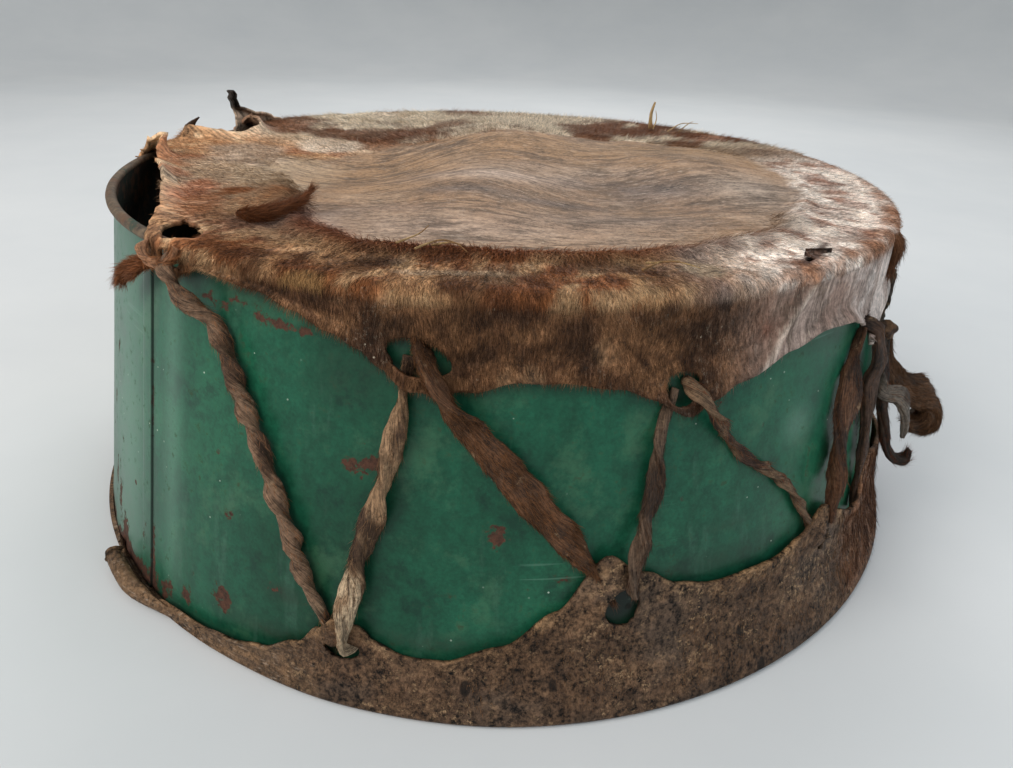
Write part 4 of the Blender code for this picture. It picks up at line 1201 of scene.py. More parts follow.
    def colours(self, points: np.ndarray, down: np.ndarray) -> dict[str, np.ndarray]:
        """Colour, bareness and hair of each vertex."""
        angle = angle_of(points)
        ragged = layered_noise(points, 0.020, 5, 21)
        patchy = layered_noise(points, 0.034, 4, 23)
        middle = outline_distance(points[:, 0], points[:, 1], np.array(self.middle)) + ragged * 0.009
        bare = ease(middle, 0.003, -0.004)
        skirt = down > 0.0
        right = ease(angle, 14.0, 34.0) * ease(angle, 120.0, 96.0)
        left = ease(angle, -38.0, -60.0) * ease(angle, -160.0, -120.0)
        back = ease(np.abs(angle), 100.0, 125.0)
        small = layered_noise(points, 0.011, 4, 27)
        corner = ease(np.hypot(points[:, 0], points[:, 1]), 0.2300, 0.2400)
        ring = tint((np.ones(len(points)), (150, 95, 57)), (ease(patchy, 0.02, 0.20), (192, 148, 106)),
                    (ease(small, 0.05, 0.22) * 0.75, (208, 172, 130)), (ease(small, -0.10, -0.26) * 0.75, (98, 60, 38)),
                    (ease(ragged, 0.10, 0.26) * 0.7, (104, 64, 40)),
                    (left * 0.85, (204, 156, 112)), (left * ease(small, 0.04, 0.22) * 0.8, (226, 192, 152)),
                    (left * ease(patchy, 0.04, 0.22) * 0.85, (170, 110, 72)),
                    (right, (250, 236, 222)), (right * ease(patchy, -0.02, -0.22) * 0.6, (230, 208, 194)),
                    (right * ease(small, 0.13, 0.25) * 0.8, (160, 112, 86)),
                    (right * ease(ragged, 0.18, 0.30) * 0.45, (136, 90, 66)),
                    (right * corner * ease(small, -0.3, 0.1) * 0.8, (166, 118, 86)),
                    (back, (224, 206, 180)), (back * ease(patchy, -0.06, 0.10), (126, 78, 46)),
                    (back * ease(small, 0.10, 0.26) * 0.7, (96, 60, 38)))
        rough_lip = np.exp(-(middle / 0.006) ** 2) * ease(points[:, 1], -0.120, -0.160) * (1.0 - right)
        inner = tint((np.ones(len(points)), (148, 116, 87)), (ease(patchy, 0.0, 0.35) * 0.6, (168, 140, 114)),
                     (ease(ragged, 0.05, 0.30) * 0.5, (108, 82, 62)))
        folded = angle - 30.9 - (points[:, 2] - 0.183) * 174.0
        side = tint((np.ones(len(points)), (92, 62, 41)), (ease(patchy, 0.02, 0.25) * 0.7, (120, 84, 56)),
                    (ease(ragged, 0.10, 0.28) * 0.6, (66, 44, 30)), (ease(ragged, -0.2, -0.34) * 0.5, (150, 116, 84)),
                    (ease(small, 0.08, 0.22) * 0.6, (140, 100, 68)), (ease(small, -0.12, -0.26) * 0.6, (50, 34, 24)),
                    (ease(angle, -22.0, -38.0) * 0.8, (122, 80, 48)), (ease(angle, 20.0, 30.0), (138, 112, 98)),
                    (ease(folded, -0.6, 0.8) * ease(angle, 24.0, 27.0), (160, 138, 126)),
                    (ease(angle, 40.0, 47.0), (204, 188, 178)),
                    (ease(angle, 22.0, 28.0) * ease(small, 0.0, 0.2) * 0.5, (112, 80, 64)),
                    (np.exp(-((angle - 27.6) / 1.4) ** 2 - ((points[:, 2] - 0.1810) / 0.0050) ** 2) * 0.8, (108, 66, 48)),
                    (np.exp(-(folded / 0.5) ** 2) * skirt, (194, 174, 158)),
                    # A darker band beside the raised crease: painted shade in the fold.
                    (np.exp(-((folded + 1.1) / 0.7) ** 2) * skirt * 0.6, (104, 82, 70)),
                    (ease(angle, 60.0, 90.0), (124, 92, 68)), (back, (118, 84, 58)))
        blend = bare[:, None]
        colour = ring * (1.0 - blend) + inner * blend
        for spot in self.spots:
            weight = (spot.weight(points, ragged) * ~skirt)[:, None]
            colour = colour * (1.0 - weight) + np.array(shade(*spot.colour)) * weight
        gash = outline_distance(points[:, 0], points[:, 1], np.array(self.rent))
        torn = (0.9 * np.exp(-(np.maximum(gash, 0.0) / 0.0018) ** 2) * ~skirt)[:, None]
        colour = colour * (1.0 - torn) + np.array(shade(74, 44, 28)) * torn
        lip = rough_lip[:, None] * 0.8
        colour = colour * (1.0 - lip) + np.array(shade(150, 84, 50)) * lip
        over = ease(points[:, 2], self.sizes.top - 0.0005, self.sizes.top - 0.0065)
        over = (over * (np.hypot(points[:, 0], points[:, 1]) > self.sizes.top_radius))[:, None]
        colour = colour * (1.0 - over) + side * over
        skin_bare = np.where(skirt, ease(angle, 22.0, 32.0) * ease(angle, 100.0, 80.0), bare)
        haired = np.where(skirt, 1.0 - 0.9 * skin_bare, (1.0 - bare) * (1.0 - 0.45 * right))
        haired = haired * ease(ragged, -0.55, -0.15) * (1.0 - 0.3 * left) * ease(self.tear_distance(points), 0.003, 0.009)
        loop = outline_distance(points[:, 0], points[:, 1], np.array(self.loop_hole))
        haired = haired * ease(loop, 0.0, 0.006) * ease(gash, 0.0, 0.004)
        haired = haired * (1.0 - 0.9 * right * over[:, 0]) * np.where(skirt, ease(down, 1.0, 0.94), 1.0)
        lip = np.exp(-((middle - 0.004) / 0.006) ** 2) * ease(points[:, 1], 0.02, -0.10) * ~skirt
        swell = sum(height * np.exp(-((points[:, 0] - cx) / wide) ** 2 - ((points[:, 1] - cy) / deep) ** 2)
                    for cx, cy, height, wide, deep in self.relief)
        flow = np.stack((points[:, 0], points[:, 1] - 4.6 * swell, points[:, 2]), axis=1)
        hung = np.stack((points[:, 2], np.radians(angle) * 0.245, np.zeros(len(points))), axis=1)
        flow = np.where(skirt[:, None], hung, flow)
        return {"hide_colour": colour, "hair_colour": colour.copy(), "bare": skin_bare, "haired": haired,
                "lip": lip, "flow": flow}

    def build(self) -> tuple[bpy.types.Object, bpy.types.Mesh]:
        """Build the hide.

        Returns:
            The finished piece, and the outer face alone, for hair to grow on.
        """
        grid, down = self.surface()
        shape = grid.shape[:2]
        grid = self.waves(grid, down)
        down = np.repeat(down, self.columns)
        points = grid.reshape(-1, 3)
        fields = self.colours(points, down)
        swirl = 34.0 + 70.0 * ease(angle_of(points), -48.0, -66.0)
        fields["comb"] = combed(grid, swirl * layered_noise(points, 0.012, 3, 51))
        ragged = layered_noise(points, 0.010, 4, 61)
        radius = np.hypot(points[:, 0], points[:, 1])
        tears = self.tear_distance(points) + ragged * 0.0032
        cuts = [tears]
        for opening in (self.rent, self.slit, self.loop_hole):
            cuts.append(outline_distance(points[:, 0], points[:, 1], np.array(opening)) + ragged * 0.0008)
        for hole in self.slots:
            reach = hole.distance(self.sizes.rim_corner, angle_of(points), points[:, 2]) + ragged * 0.0008
            cuts.append(np.where(radius > self.sizes.top_radius, reach, 1.0))
        nearest = np.min(cuts, axis=0)
        moved = self.slide_out(points, nearest, shape)
        points, faces = self.cut(points, grid_faces(*shape)[:, ::-1], nearest, moved)
        points = self.rolled(points, self.tear_distance(points))
        points, faces, fields = packed_faces(points, faces, fields)
        skin = make_mesh("upper_skin", points, faces, fields)
        weld(skin)
        piece = link_object("upper_hide", skin.copy(), DriedHide("upper_cowhide").material())
        bake(self.thicken(piece))
        return settle(piece, Slot.UPPER, "upper_head"), skin


@dataclass
class LowerHead(Skin):
    """The lower hide: flat under the drum, turned up round the wall and cut into slotted ears."""

    corner: float = 0.0040
    disc_rows: int = 7
    corner_rows: int = 5
    skirt_rows: int = 40
    ragged_edge: float = 0.0006
    lip_radius: float = 0.0064
    lip_stand: float = 0.0026
    lip_turn: float = 225.0
    bulge_height: float = 0.030
    bulge: tuple[Point, ...] = (
        (-100.0, 0.0), (-56.0, 0.0), (-44.0, 0.0022), (-30.0, 0.0022), (-14.0, 0.0045), (2.0, 0.0062),
        (30.0, 0.0052), (60.0, 0.0050), (230.0, 0.0050),
    )
    edge: tuple[Point, ...] = (
        (-105.0, 0.0046), (-57.0, 0.0046), (-52.5, 0.0110), (-46.0, 0.0130), (-41.0, 0.0100), (-35.0, 0.0120),
        (-29.0, 0.0150), (-25.0, 0.0190), (-20.5, 0.0280), (-18.2, 0.0400), (-16.0, 0.0490), (-13.8, 0.0440),
        (-12.2, 0.0370), (-9.5, 0.0330), (-5.5, 0.0330), (0.3, 0.0420), (5.6, 0.0590),
        (10.6, 0.0875), (14.8, 0.0745), (18.5, 0.0660), (23.4, 0.0620), (30.4, 0.0620), (35.4, 0.0670),
        (38.7, 0.0810), (41.2, 0.0740), (44.0, 0.0650), (46.4, 0.0610), (49.5, 0.0700), (55.3, 0.0780),
        (60.0, 0.0720), (68.0, 0.0640), (77.0, 0.0600), (84.0, 0.0720), (91.0, 0.0600), (98.0, 0.0570),
        (107.5, 0.0600), (115.0, 0.0760), (122.5, 0.0600), (130.0, 0.0580), (138.5, 0.0590), (146.0, 0.0730),
        (153.5, 0.0590), (161.0, 0.0560), (169.5, 0.0600), (177.0, 0.0750), (184.5, 0.0600), (192.0, 0.0570),
        (199.5, 0.0590), (207.0, 0.0720), (214.5, 0.0580), (222.0, 0.0540), (230.0, 0.0560), (237.0, 0.0680),
        (244.0, 0.0400), (252.0, 0.0120),
    )
    slots: tuple[Hole, ...] = (
        Hole(-15.6, 0.0310, 0.0088, 0.0058, 0.0, -0.0042), Hole(12.3, 0.0590, 0.0086, 0.0110, 6.0, -0.0042),
        Hole(39.9, 0.0565, 0.0030, 0.0100, 0.0, -0.0042), Hole(49.5, 0.0560, 0.0080, 0.0052, 0.0, -0.0042),
        Hole(84.0, 0.0560, 0.0088, 0.0052, 0.0, -0.0042), Hole(115.0, 0.0600, 0.0088, 0.0052, 0.0, -0.0042),
        Hole(146.0, 0.0570, 0.0088, 0.0052, 0.0, -0.0042), Hole(177.0, 0.0590, 0.0088, 0.0052, 0.0, -0.0042),
        Hole(207.0, 0.0560, 0.0088, 0.0052, 0.0, -0.0042), Hole(237.0, 0.0520, 0.0088, 0.0052, 0.0, -0.0042),
    )

    def bulged(self, angle: np.ndarray, height: np.ndarray) -> np.ndarray:
        """How far the hide stands out beyond the wall's line."""
        return ring_value(self.bulge, angle) * np.clip(1.0 - height / self.bulge_height, 0.0, 1.0)

    def surface(self) -> tuple[np.ndarray, np.ndarray]:
        """Outer face of the hide: points, rows by columns by three, and how far up the skirt each row is."""
        sizes = self.sizes
        angle = self.angles()[None, :]
        off = sizes.fit + sizes.hide
        foot = sizes.bottom_radius + off + self.bulged(angle, np.zeros_like(angle) + self.corner)
        flat = foot - self.corner
        disc = spin(angle, flat * np.linspace(0.0, 1.0, self.disc_rows)[:, None], 0.0)
        turn = np.radians(90.0 * np.arange(1, self.corner_rows + 1) / self.corner_rows)[:, None]
        bend = spin(angle, flat + self.corner * np.sin(turn), self.corner * (1.0 - np.cos(turn)))
        rim = spin(angle, sizes.bottom_radius, 0.0)
        edge = ring_value(self.edge, angle)
        edge = edge + layered_noise(rim, 0.016, 4, 131) * self.ragged_edge * ease(edge, 0.006, 0.012)
        share = (np.arange(1, self.skirt_rows + 1) / self.skirt_rows)[:, None]
        height = self.corner + (np.maximum(edge, self.corner + 0.0004) - self.corner) * share
        radius = sizes.wall(np.maximum(height, sizes.base)) + off + self.bulged(angle, height)
        lip = ease(angle_of(rim), -36.0, -47.0) * ease(angle_of(rim), -53.0, -51.6)
        curl = np.radians(-90.0 + self.lip_turn * share)
        radius = radius + (foot + self.lip_stand + self.lip_radius * np.cos(curl) - radius) * lip
        height = height + (self.lip_radius * (1.0 + np.sin(curl)) - height) * lip
        skirt = spin(angle, radius, height)
        up = np.concatenate((np.zeros(self.disc_rows + self.corner_rows), share[:, 0]))
        return np.concatenate((disc, bend, skirt)), up

    def lumps(self, grid: np.ndarray, up: np.ndarray) -> np.ndarray:
        """Give the skirt its dried lumps and its lifted edge."""
        angle = angle_of(grid)
        radius = np.hypot(grid[..., 0], grid[..., 1])
        near_ear = np.max([np.exp(-(apart(angle, hole.angle) / 6.0) ** 2) for hole in self.slots], axis=0)
        lift = 0.0012 * np.maximum(0.0, layered_noise(grid, 0.026, 3, 141) + 0.15)
        lift = lift + 0.0005 * np.maximum(0.0, layered_noise(grid, 0.008, 2, 151))
        lift = lift + 0.0020 * ease(up[:, None], 0.7, 1.0) * (1.0 - near_ear)
        strap = np.max([hole.bulge(self.sizes.wall(hole.height), angle, grid[..., 2], 1.0) for hole in self.slots],
                       axis=0)
        lift = lift + 0.0044 * strap
        lift = lift * ease(up[:, None], 0.0, 0.10) * ease(grid[..., 2], 0.004, 0.012)
        outward = grid * np.array((1.0, 1.0, 0.0)) / np.maximum(radius, 1e-6)[..., None]
        return grid + outward * lift[..., None]

    def colours(self, points: np.ndarray, up: np.ndarray) -> dict[str, np.ndarray]:
        """Colour, bareness and hair of each vertex."""
        angle = angle_of(points)
        ragged = layered_noise(points, 0.018, 5, 161)
        patchy = layered_noise(points, 0.040, 4, 171)
        front = np.ones(len(points))
        rim = ease(up, 0.80, 1.0) * ease(ragged, -0.3, 0.2)
        small = layered_noise(points, 0.006, 3, 175)
        colour = tint((front, (82, 61, 45)), (ease(patchy, 0.0, 0.30) * 0.5, (96, 70, 49)),
                      (ease(ragged, 0.05, 0.30) * 0.30, (60, 46, 36)), (ease(ragged, -0.12, -0.32) * 0.3, (112, 84, 60)),
                      (ease(patchy, -0.05, -0.3) * 0.5, (72, 61, 52)), (rim * 0.5, (118, 88, 60)),
                      (ease(small, 0.10, 0.30) * 0.35, (122, 93, 68)), (ease(small, -0.12, -0.30) * 0.35, (52, 40, 32)),
                      (rim * ease(small, -0.1, 0.1) * 0.6, (152, 118, 84)),
                      (ease(angle, -16.0, -30.0) * ease(angle, -160.0, -110.0) * 0.75, (122, 94, 68)),
                      (ease(angle, 44.0, 48.0) * ease(angle, 96.0, 80.0) * 0.8, (128, 90, 66)),
                      (ease(points[:, 2], 0.012, 0.004) * 0.5, (66, 50, 38)))
        stringy = ease(angle, 43.0, 47.0) * ease(angle, 92.0, 80.0) * ease(small, -0.35, 0.0) * (up > 0.0)
        hair = tint((front, (84, 60, 42)), (ease(ragged, 0.0, 0.25), (118, 84, 56)),
                    (ease(patchy, 0.05, 0.3) * 0.7, (50, 37, 28)), (stringy, (136, 94, 68)),
                    (stringy * ease(small, 0.0, 0.2), (88, 58, 42)))
        haired = ease(points[:, 2], 0.004, 0.010) * ease(patchy + ragged * 0.6, -0.30, 0.15)
        flow = np.stack((np.radians(angle) * 0.27, points[:, 2], np.zeros(len(points))), axis=1)
        bare = 0.8 * ease(angle, -14.0, -26.0) * ease(angle, -70.0, -60.0)
        return {"hide_colour": colour, "hair_colour": hair, "bare": bare, "haired": haired * (1.0 - bare),
                "stringy": stringy, "flow": flow}

    def build(self) -> tuple[bpy.types.Object, bpy.types.Mesh]:
        """Build the hide.

        Returns:
            The finished piece, and the outer face alone, for hair to grow on.
        """
        grid, up = self.surface()
        shape = grid.shape[:2]
        grid = self.lumps(grid, up)
        points = grid.reshape(-1, 3)
        fields = self.colours(points, np.repeat(up, self.columns))
        strayed = 60.0 * (1.0 - 0.75 * (fields["stringy"] > 0.0))
        fields["comb"] = combed(grid, 180.0 + strayed * layered_noise(points, 0.012, 3, 181))
        ragged = layered_noise(points, 0.010, 4, 191)
        angle = angle_of(points)
        reach = [hole.distance(self.sizes.wall(hole.height), angle, points[:, 2]) for hole in self.slots]
        lip_end = Hole(-52.7, 0.0115, 0.0048, 0.0095).distance(self.sizes.bottom_radius, angle, points[:, 2])
        nearest = np.min([*reach, lip_end], axis=0) + ragged * 0.0009
        nearest = np.where(points[:, 2] > self.corner * 0.5, nearest, 1.0)
        moved = self.slide_out(points, nearest, shape)
        points, faces = self.cut(points, grid_faces(*shape), nearest, moved)
        points, faces, fields = packed_faces(points, faces, fields)
        skin = make_mesh("lower_skin", points, faces, fields)
        weld(skin)
        finish = DriedHide("lower_cowhide", 0.40, 0.72, 0.9, 0.60, (168, 136, 102), (30, 22, 17), 0.18, 0.95, 0.26, 0.95)
        piece = link_object("lower_hide", skin.copy(), finish.material())
        bake(self.thicken(piece))
        return settle(piece, Slot.LOWER, "lower_head"), skin


@dataclass(frozen=True)
class HairCoat:
    """A coat of short hair over one stretch of a skin, grown by Geometry Nodes."""

    name: str
    middle: float
    half: float
    low: float
    high: float
    per_area: float
    length: float
    thickness: float = 0.00030
    lift: float = 0.26
    stray: float = 0.24
    bend: float = 0.30
    seed: int = 1
    where: str = "haired"
    segments: int = 1

    def share(self, skin: bpy.types.Mesh) -> np.ndarray:
        """How much of the coat grows at each vertex of the skin."""
        points = np.empty(len(skin.vertices) * 3, np.float32)
        skin.vertices.foreach_get("co", points)
        points = points.reshape(-1, 3)
        haired = np.empty(len(points), np.float32)
        skin.attributes[self.where].data.foreach_get("value", haired)
        inside = np.abs(apart(angle_of(points), self.middle)) <= self.half
        inside &= (points[:, 2] >= self.low) & (points[:, 2] <= self.high)
        return haired * inside

    def tree(self) -> bpy.types.NodeTree:
        """Node tree that scatters, lays, bends and shades the strands."""
        tree = bpy.data.node_groups.new(self.name, "GeometryNodeTree")
        sockets = tree.interface
        sockets.new_socket("Geometry", in_out="INPUT", socket_type="NodeSocketGeometry")
        for label in ("Per Area", "Length", "Thickness", "Lift", "Stray", "Bend"):
            sockets.new_socket(label, in_out="INPUT", socket_type="NodeSocketFloat")
        for label in ("Segments", "Seed"):
            sockets.new_socket(label, in_out="INPUT", socket_type="NodeSocketInt")
        sockets.new_socket("Finish", in_out="INPUT", socket_type="NodeSocketMaterial")
        sockets.new_socket("Geometry", in_out="OUTPUT", socket_type="NodeSocketGeometry")
        g = Graph(tree)
        given = g.add("NodeGroupInput").outputs
        haired = g.add("GeometryNodeInputNamedAttribute", {"Name": "haired"}).outputs["Attribute"]
        dense = g.math("MULTIPLY", haired, given["Per Area"])
        roots = g.add("GeometryNodeDistributePointsOnFaces",
                      {"Mesh": given["Geometry"], "Density": dense, "Seed": given["Seed"]})
        comb = g.add("GeometryNodeInputNamedAttribute", {"Name": "comb"}, data_type="FLOAT_VECTOR").outputs["Attribute"]
        astray = g.add("FunctionNodeRandomValue", {0: (-1.0, -1.0, -1.0), 1: (1.0, 1.0, 1.0), "Seed": given["Seed"]},
                       data_type="FLOAT_VECTOR").outputs[0]
        astray = g.add("ShaderNodeVectorMath", {0: astray, "Scale": given["Stray"]}, operation="SCALE").outputs[0]
        raised = g.add("ShaderNodeVectorMath", {0: roots.outputs["Normal"], "Scale": given["Lift"]},
                       operation="SCALE").outputs[0]
        way = g.vector("ADD", g.vector("ADD", comb, raised), astray)
        turn = g.add("FunctionNodeAlignRotationToVector", {"Vector": way}, axis="Z").outputs[0]
        inward = g.vector("MULTIPLY", roots.outputs["Normal"], (-1.0, -1.0, -1.0))
        turn = g.add("FunctionNodeAlignRotationToVector", {"Rotation": turn, "Vector": inward},
                     axis="X", pivot_axis="Z").outputs[0]
        cone = g.add("GeometryNodeMeshCone", {"Vertices": 3, "Side Segments": given["Segments"], "Radius Top": 0.0,
                                              "Radius Bottom": given["Thickness"], "Depth": given["Length"]})
        along = g.add("ShaderNodeSeparateXYZ", {0: g.add("GeometryNodeInputPosition").outputs[0]}).outputs["Z"]
        along = g.math("DIVIDE", along, given["Length"])
        marked = g.add("GeometryNodeStoreNamedAttribute", {"Geometry": cone.outputs["Mesh"], "Name": "tip",
                                                           "Value": along}).outputs[0]
        sag = g.math("MULTIPLY", g.math("MULTIPLY", along, along), g.math("MULTIPLY", given["Bend"], given["Length"]))
        offset = g.add("ShaderNodeCombineXYZ", {"X": sag}).outputs[0]
        bent = g.add("GeometryNodeSetPosition", {"Geometry": marked, "Offset": offset}).outputs[0]
        grown = g.add("FunctionNodeRandomValue", {2: 0.45, 3: 1.2, "Seed": given["Seed"]}).outputs[1]
        placed = g.add("GeometryNodeInstanceOnPoints", {"Points": roots.outputs["Points"], "Instance": bent,
                                                        "Rotation": turn, "Scale": grown}).outputs[0]
        shades = g.add("FunctionNodeRandomValue", {2: 0.0, 3: 1.0, "Seed": given["Seed"], "ID": g.add(
            "GeometryNodeInputIndex").outputs[0]}).outputs[1]
        placed = g.add("GeometryNodeStoreNamedAttribute", {"Geometry": placed, "Name": "strand", "Value": shades},
                       domain="INSTANCE").outputs[0]
        solid = g.add("GeometryNodeRealizeInstances", {"Geometry": placed}).outputs[0]
        done = g.add("GeometryNodeSetMaterial", {"Geometry": solid, "Material": given["Finish"]}).outputs[0]
        g.add("NodeGroupOutput", {"Geometry": done})
        return tree

    def grow(self, skin: bpy.types.Mesh, finish: bpy.types.Material, slot: Slot) -> bpy.types.Object:
        """Grow the coat.

        Args:
            skin: outer face that carries the haired, comb and hair_colour attributes.
            finish: the strands' material.
            slot: the record's slot of the hide that it belongs to.

        Returns:
            The strands as one plain mesh.
        """
        ground = skin.copy()
        ground.attributes["haired"].data.foreach_set("value", self.share(skin).astype(np.float32))
        coat = link_object(self.name, ground)
        step = coat.modifiers.new("hair", "NODES")
        step.node_group = self.tree()
        values = {"Per Area": self.per_area, "Length": self.length, "Thickness": self.thickness, "Lift": self.lift,
                  "Stray": self.stray, "Bend": self.bend, "Segments": self.segments, "Seed": self.seed,
                  "Finish": finish}
        for socket in step.node_group.interface.items_tree:
            if socket.in_out == "INPUT" and socket.name in values:
                step[socket.identifier] = values[socket.name]
        bake(coat)
        for label in ("haired", "comb", "hide_colour", "bare", "lip", "stringy", "flow", "tone"):
            if label in coat.data.attributes:
                coat.data.attributes.remove(coat.data.attributes[label])
        coat.data.shade_smooth()
        return settle(coat, slot)


def smooth_path(points: np.ndarray, steps: int = 14) -> np.ndarray:
    """Smooth curve through rows of numbers, the end rows included."""
    padded = np.concatenate((points[:1], points, points[-1:]))
    share = (np.arange(steps) / steps)[:, None]
    pieces = []
    for before, start, end, after in zip(padded, padded[1:], padded[2:], padded[3:]):
        pieces.append(0.5 * (2.0 * start + (end - before) * share
                             + (2.0 * before - 5.0 * start + 4.0 * end - after) * share ** 2
                             + (3.0 * start - before - 3.0 * end + after) * share ** 3))
    return np.concatenate((*pieces, points[-1:]))


def even_path(points: np.ndarray, count: int, *others: np.ndarray) -> tuple[np.ndarray, ...]:
    """Even samples along a line, with other values that go with it."""
    lengths = np.concatenate(([0.0], np.cumsum(np.linalg.norm(np.diff(points, axis=0), axis=1))))
    wanted = np.linspace(0.0, lengths[-1], count)
    rows = [np.stack([np.interp(wanted, lengths, points[:, axis]) for axis in range(3)], axis=1)]
    return (*rows, *[np.interp(wanted, lengths, other) for other in others])


@dataclass
class Strip:
    """A strip of raw skin swept along a line, flat or twisted, with folds along it."""

    name: str
    tone: Colour
    other_tone: Colour
    flat: float = 0.62
    twist: float = 16.0
    folds: int = 3
    fold_depth: float = 0.30
    haired: float = 0.0
    hair_tone: Colour = (120, 78, 48)
    sides: int = 22
    seed: int = 1
    pale: float = 2.0

    def sweep(self, line: np.ndarray, radii: np.ndarray) -> bpy.types.Mesh:
        """Sweep the section along a line.

        Args:
            line: points of the middle, one row each.
            radii: half width at each point.

        Returns:
            A closed mesh with tone, comb and hair attributes and the UV map "along".
        """
        count = len(line)
        along = np.gradient(line, axis=0)
        along /= np.linalg.norm(along, axis=1)[:, None]
        travelled = np.concatenate(([0.0], np.cumsum(np.linalg.norm(np.diff(line, axis=0), axis=1))))
        normal = np.zeros_like(line)
        middle = count // 2
        outward = line[middle] * np.array((1.0, 1.0, 0.0))
        for start, stop, step in ((middle, count, 1), (middle, -1, -1)):
            held = outward
            for index in range(start, stop, step):
                held = held - along[index] * (held @ along[index])
                held = held / np.linalg.norm(held)
                normal[index] = held
        side = np.cross(along, normal)
        turn = 2.0 * np.pi * np.arange(self.sides) / self.sides
        wobble = smooth_noise(line, 0.021, self.seed + 5) * 0.8
        spun = 2.0 * np.pi * self.twist * (travelled - travelled[middle]) + wobble
        ring = 1.0 - self.fold_depth * (0.5 + 0.5 * np.cos(self.folds * turn)) ** 2
        across = np.cos(turn) * ring
        thick = np.sin(turn) * ring * self.flat
        cosine, sine = np.cos(spun)[:, None], np.sin(spun)[:, None]
        flat_part = (across * cosine - thick * sine)[..., None] * side[:, None, :]
        tall_part = (across * sine + thick * cosine)[..., None] * normal[:, None, :]
        reach = radii[:, None] * (1.0 + 0.13 * smooth_noise(line, 0.013, self.seed)[:, None])
        offset = (flat_part + tall_part) * reach[..., None]
        points = line[:, None, :] + offset
        points = points + offset * 0.24 * layered_noise(points * np.array((1.0, 1.0, 0.5)), 0.0042, 3,
                                                        self.seed + 9)[..., None]
        flat_points = points.reshape(-1, 3)
        patch = layered_noise(flat_points * np.array((1.0, 1.0, 0.45)), 0.013, 4, self.seed + 21)
        worn = ease(np.repeat(travelled / travelled[-1], self.sides), self.pale, self.pale + 0.12)
        tone = tint((np.ones(len(flat_points)), self.tone), (ease(patch, 0.02, 0.24), self.other_tone),
                    (worn * ease(patch, 0.12, -0.06) * 0.85, (186, 162, 132)))
        hair = tint((np.ones(len(flat_points)), self.hair_tone), (ease(patch, 0.0, 0.3) * 0.5, self.tone))
        outward = offset.reshape(-1, 3) / np.linalg.norm(offset.reshape(-1, 3), axis=1)[:, None]
        comb = np.repeat(along, self.sides, axis=0) * 0.9 + outward * 0.15
        faces = grid_faces(count, self.sides)
        caps = [list(range(self.sides)), list(range((count - 1) * self.sides, count * self.sides))]
        fields = {"tone": tone, "hair_colour": hair, "comb": comb,
                  "haired": np.full(len(flat_points), self.haired) * ease(patch, -0.30, 0.15)}
        mesh = make_mesh(self.name, flat_points, faces.tolist() + caps, fields)
        column = np.arange(self.sides)
        u_place = np.tile(np.stack((column, column + 1, column + 1, column), axis=1), (count - 1, 1)) / self.sides
        row = np.repeat(np.arange(count - 1), self.sides)
        v_place = np.stack((travelled[row], travelled[row], travelled[row + 1], travelled[row + 1]), axis=1)
        ends = np.array([(0.5, travelled[0])] * self.sides + [(0.5, travelled[-1])] * self.sides)
        places = np.concatenate((np.stack((u_place, v_place), axis=-1).reshape(-1, 2), ends))
        mesh.uv_layers.new(name="along").data.foreach_set("uv", places.astype(np.float32).ravel())
        shape = bmesh.new()
        shape.from_mesh(mesh)
        bmesh.ops.recalc_face_normals(shape, faces=shape.faces)
        shape.to_mesh(mesh)
        shape.free()
        return mesh


@dataclass(frozen=True)
class Span:
    """One thong between an upper and a lower slot."""

    number: int
    way: Way
    ear: int
    radius: float
    between: tuple[Point, ...]
    tone: Colour = (84, 70, 54)
    other_tone: Colour = (50, 40, 30)
    flat: float = 0.62
    twist: float = 14.0
    haired: float = 0.15
    hair_tone: Colour = (110, 76, 50)
    root: float = 0.0038
    enters: float = 0.0
    pale: float = 2.0


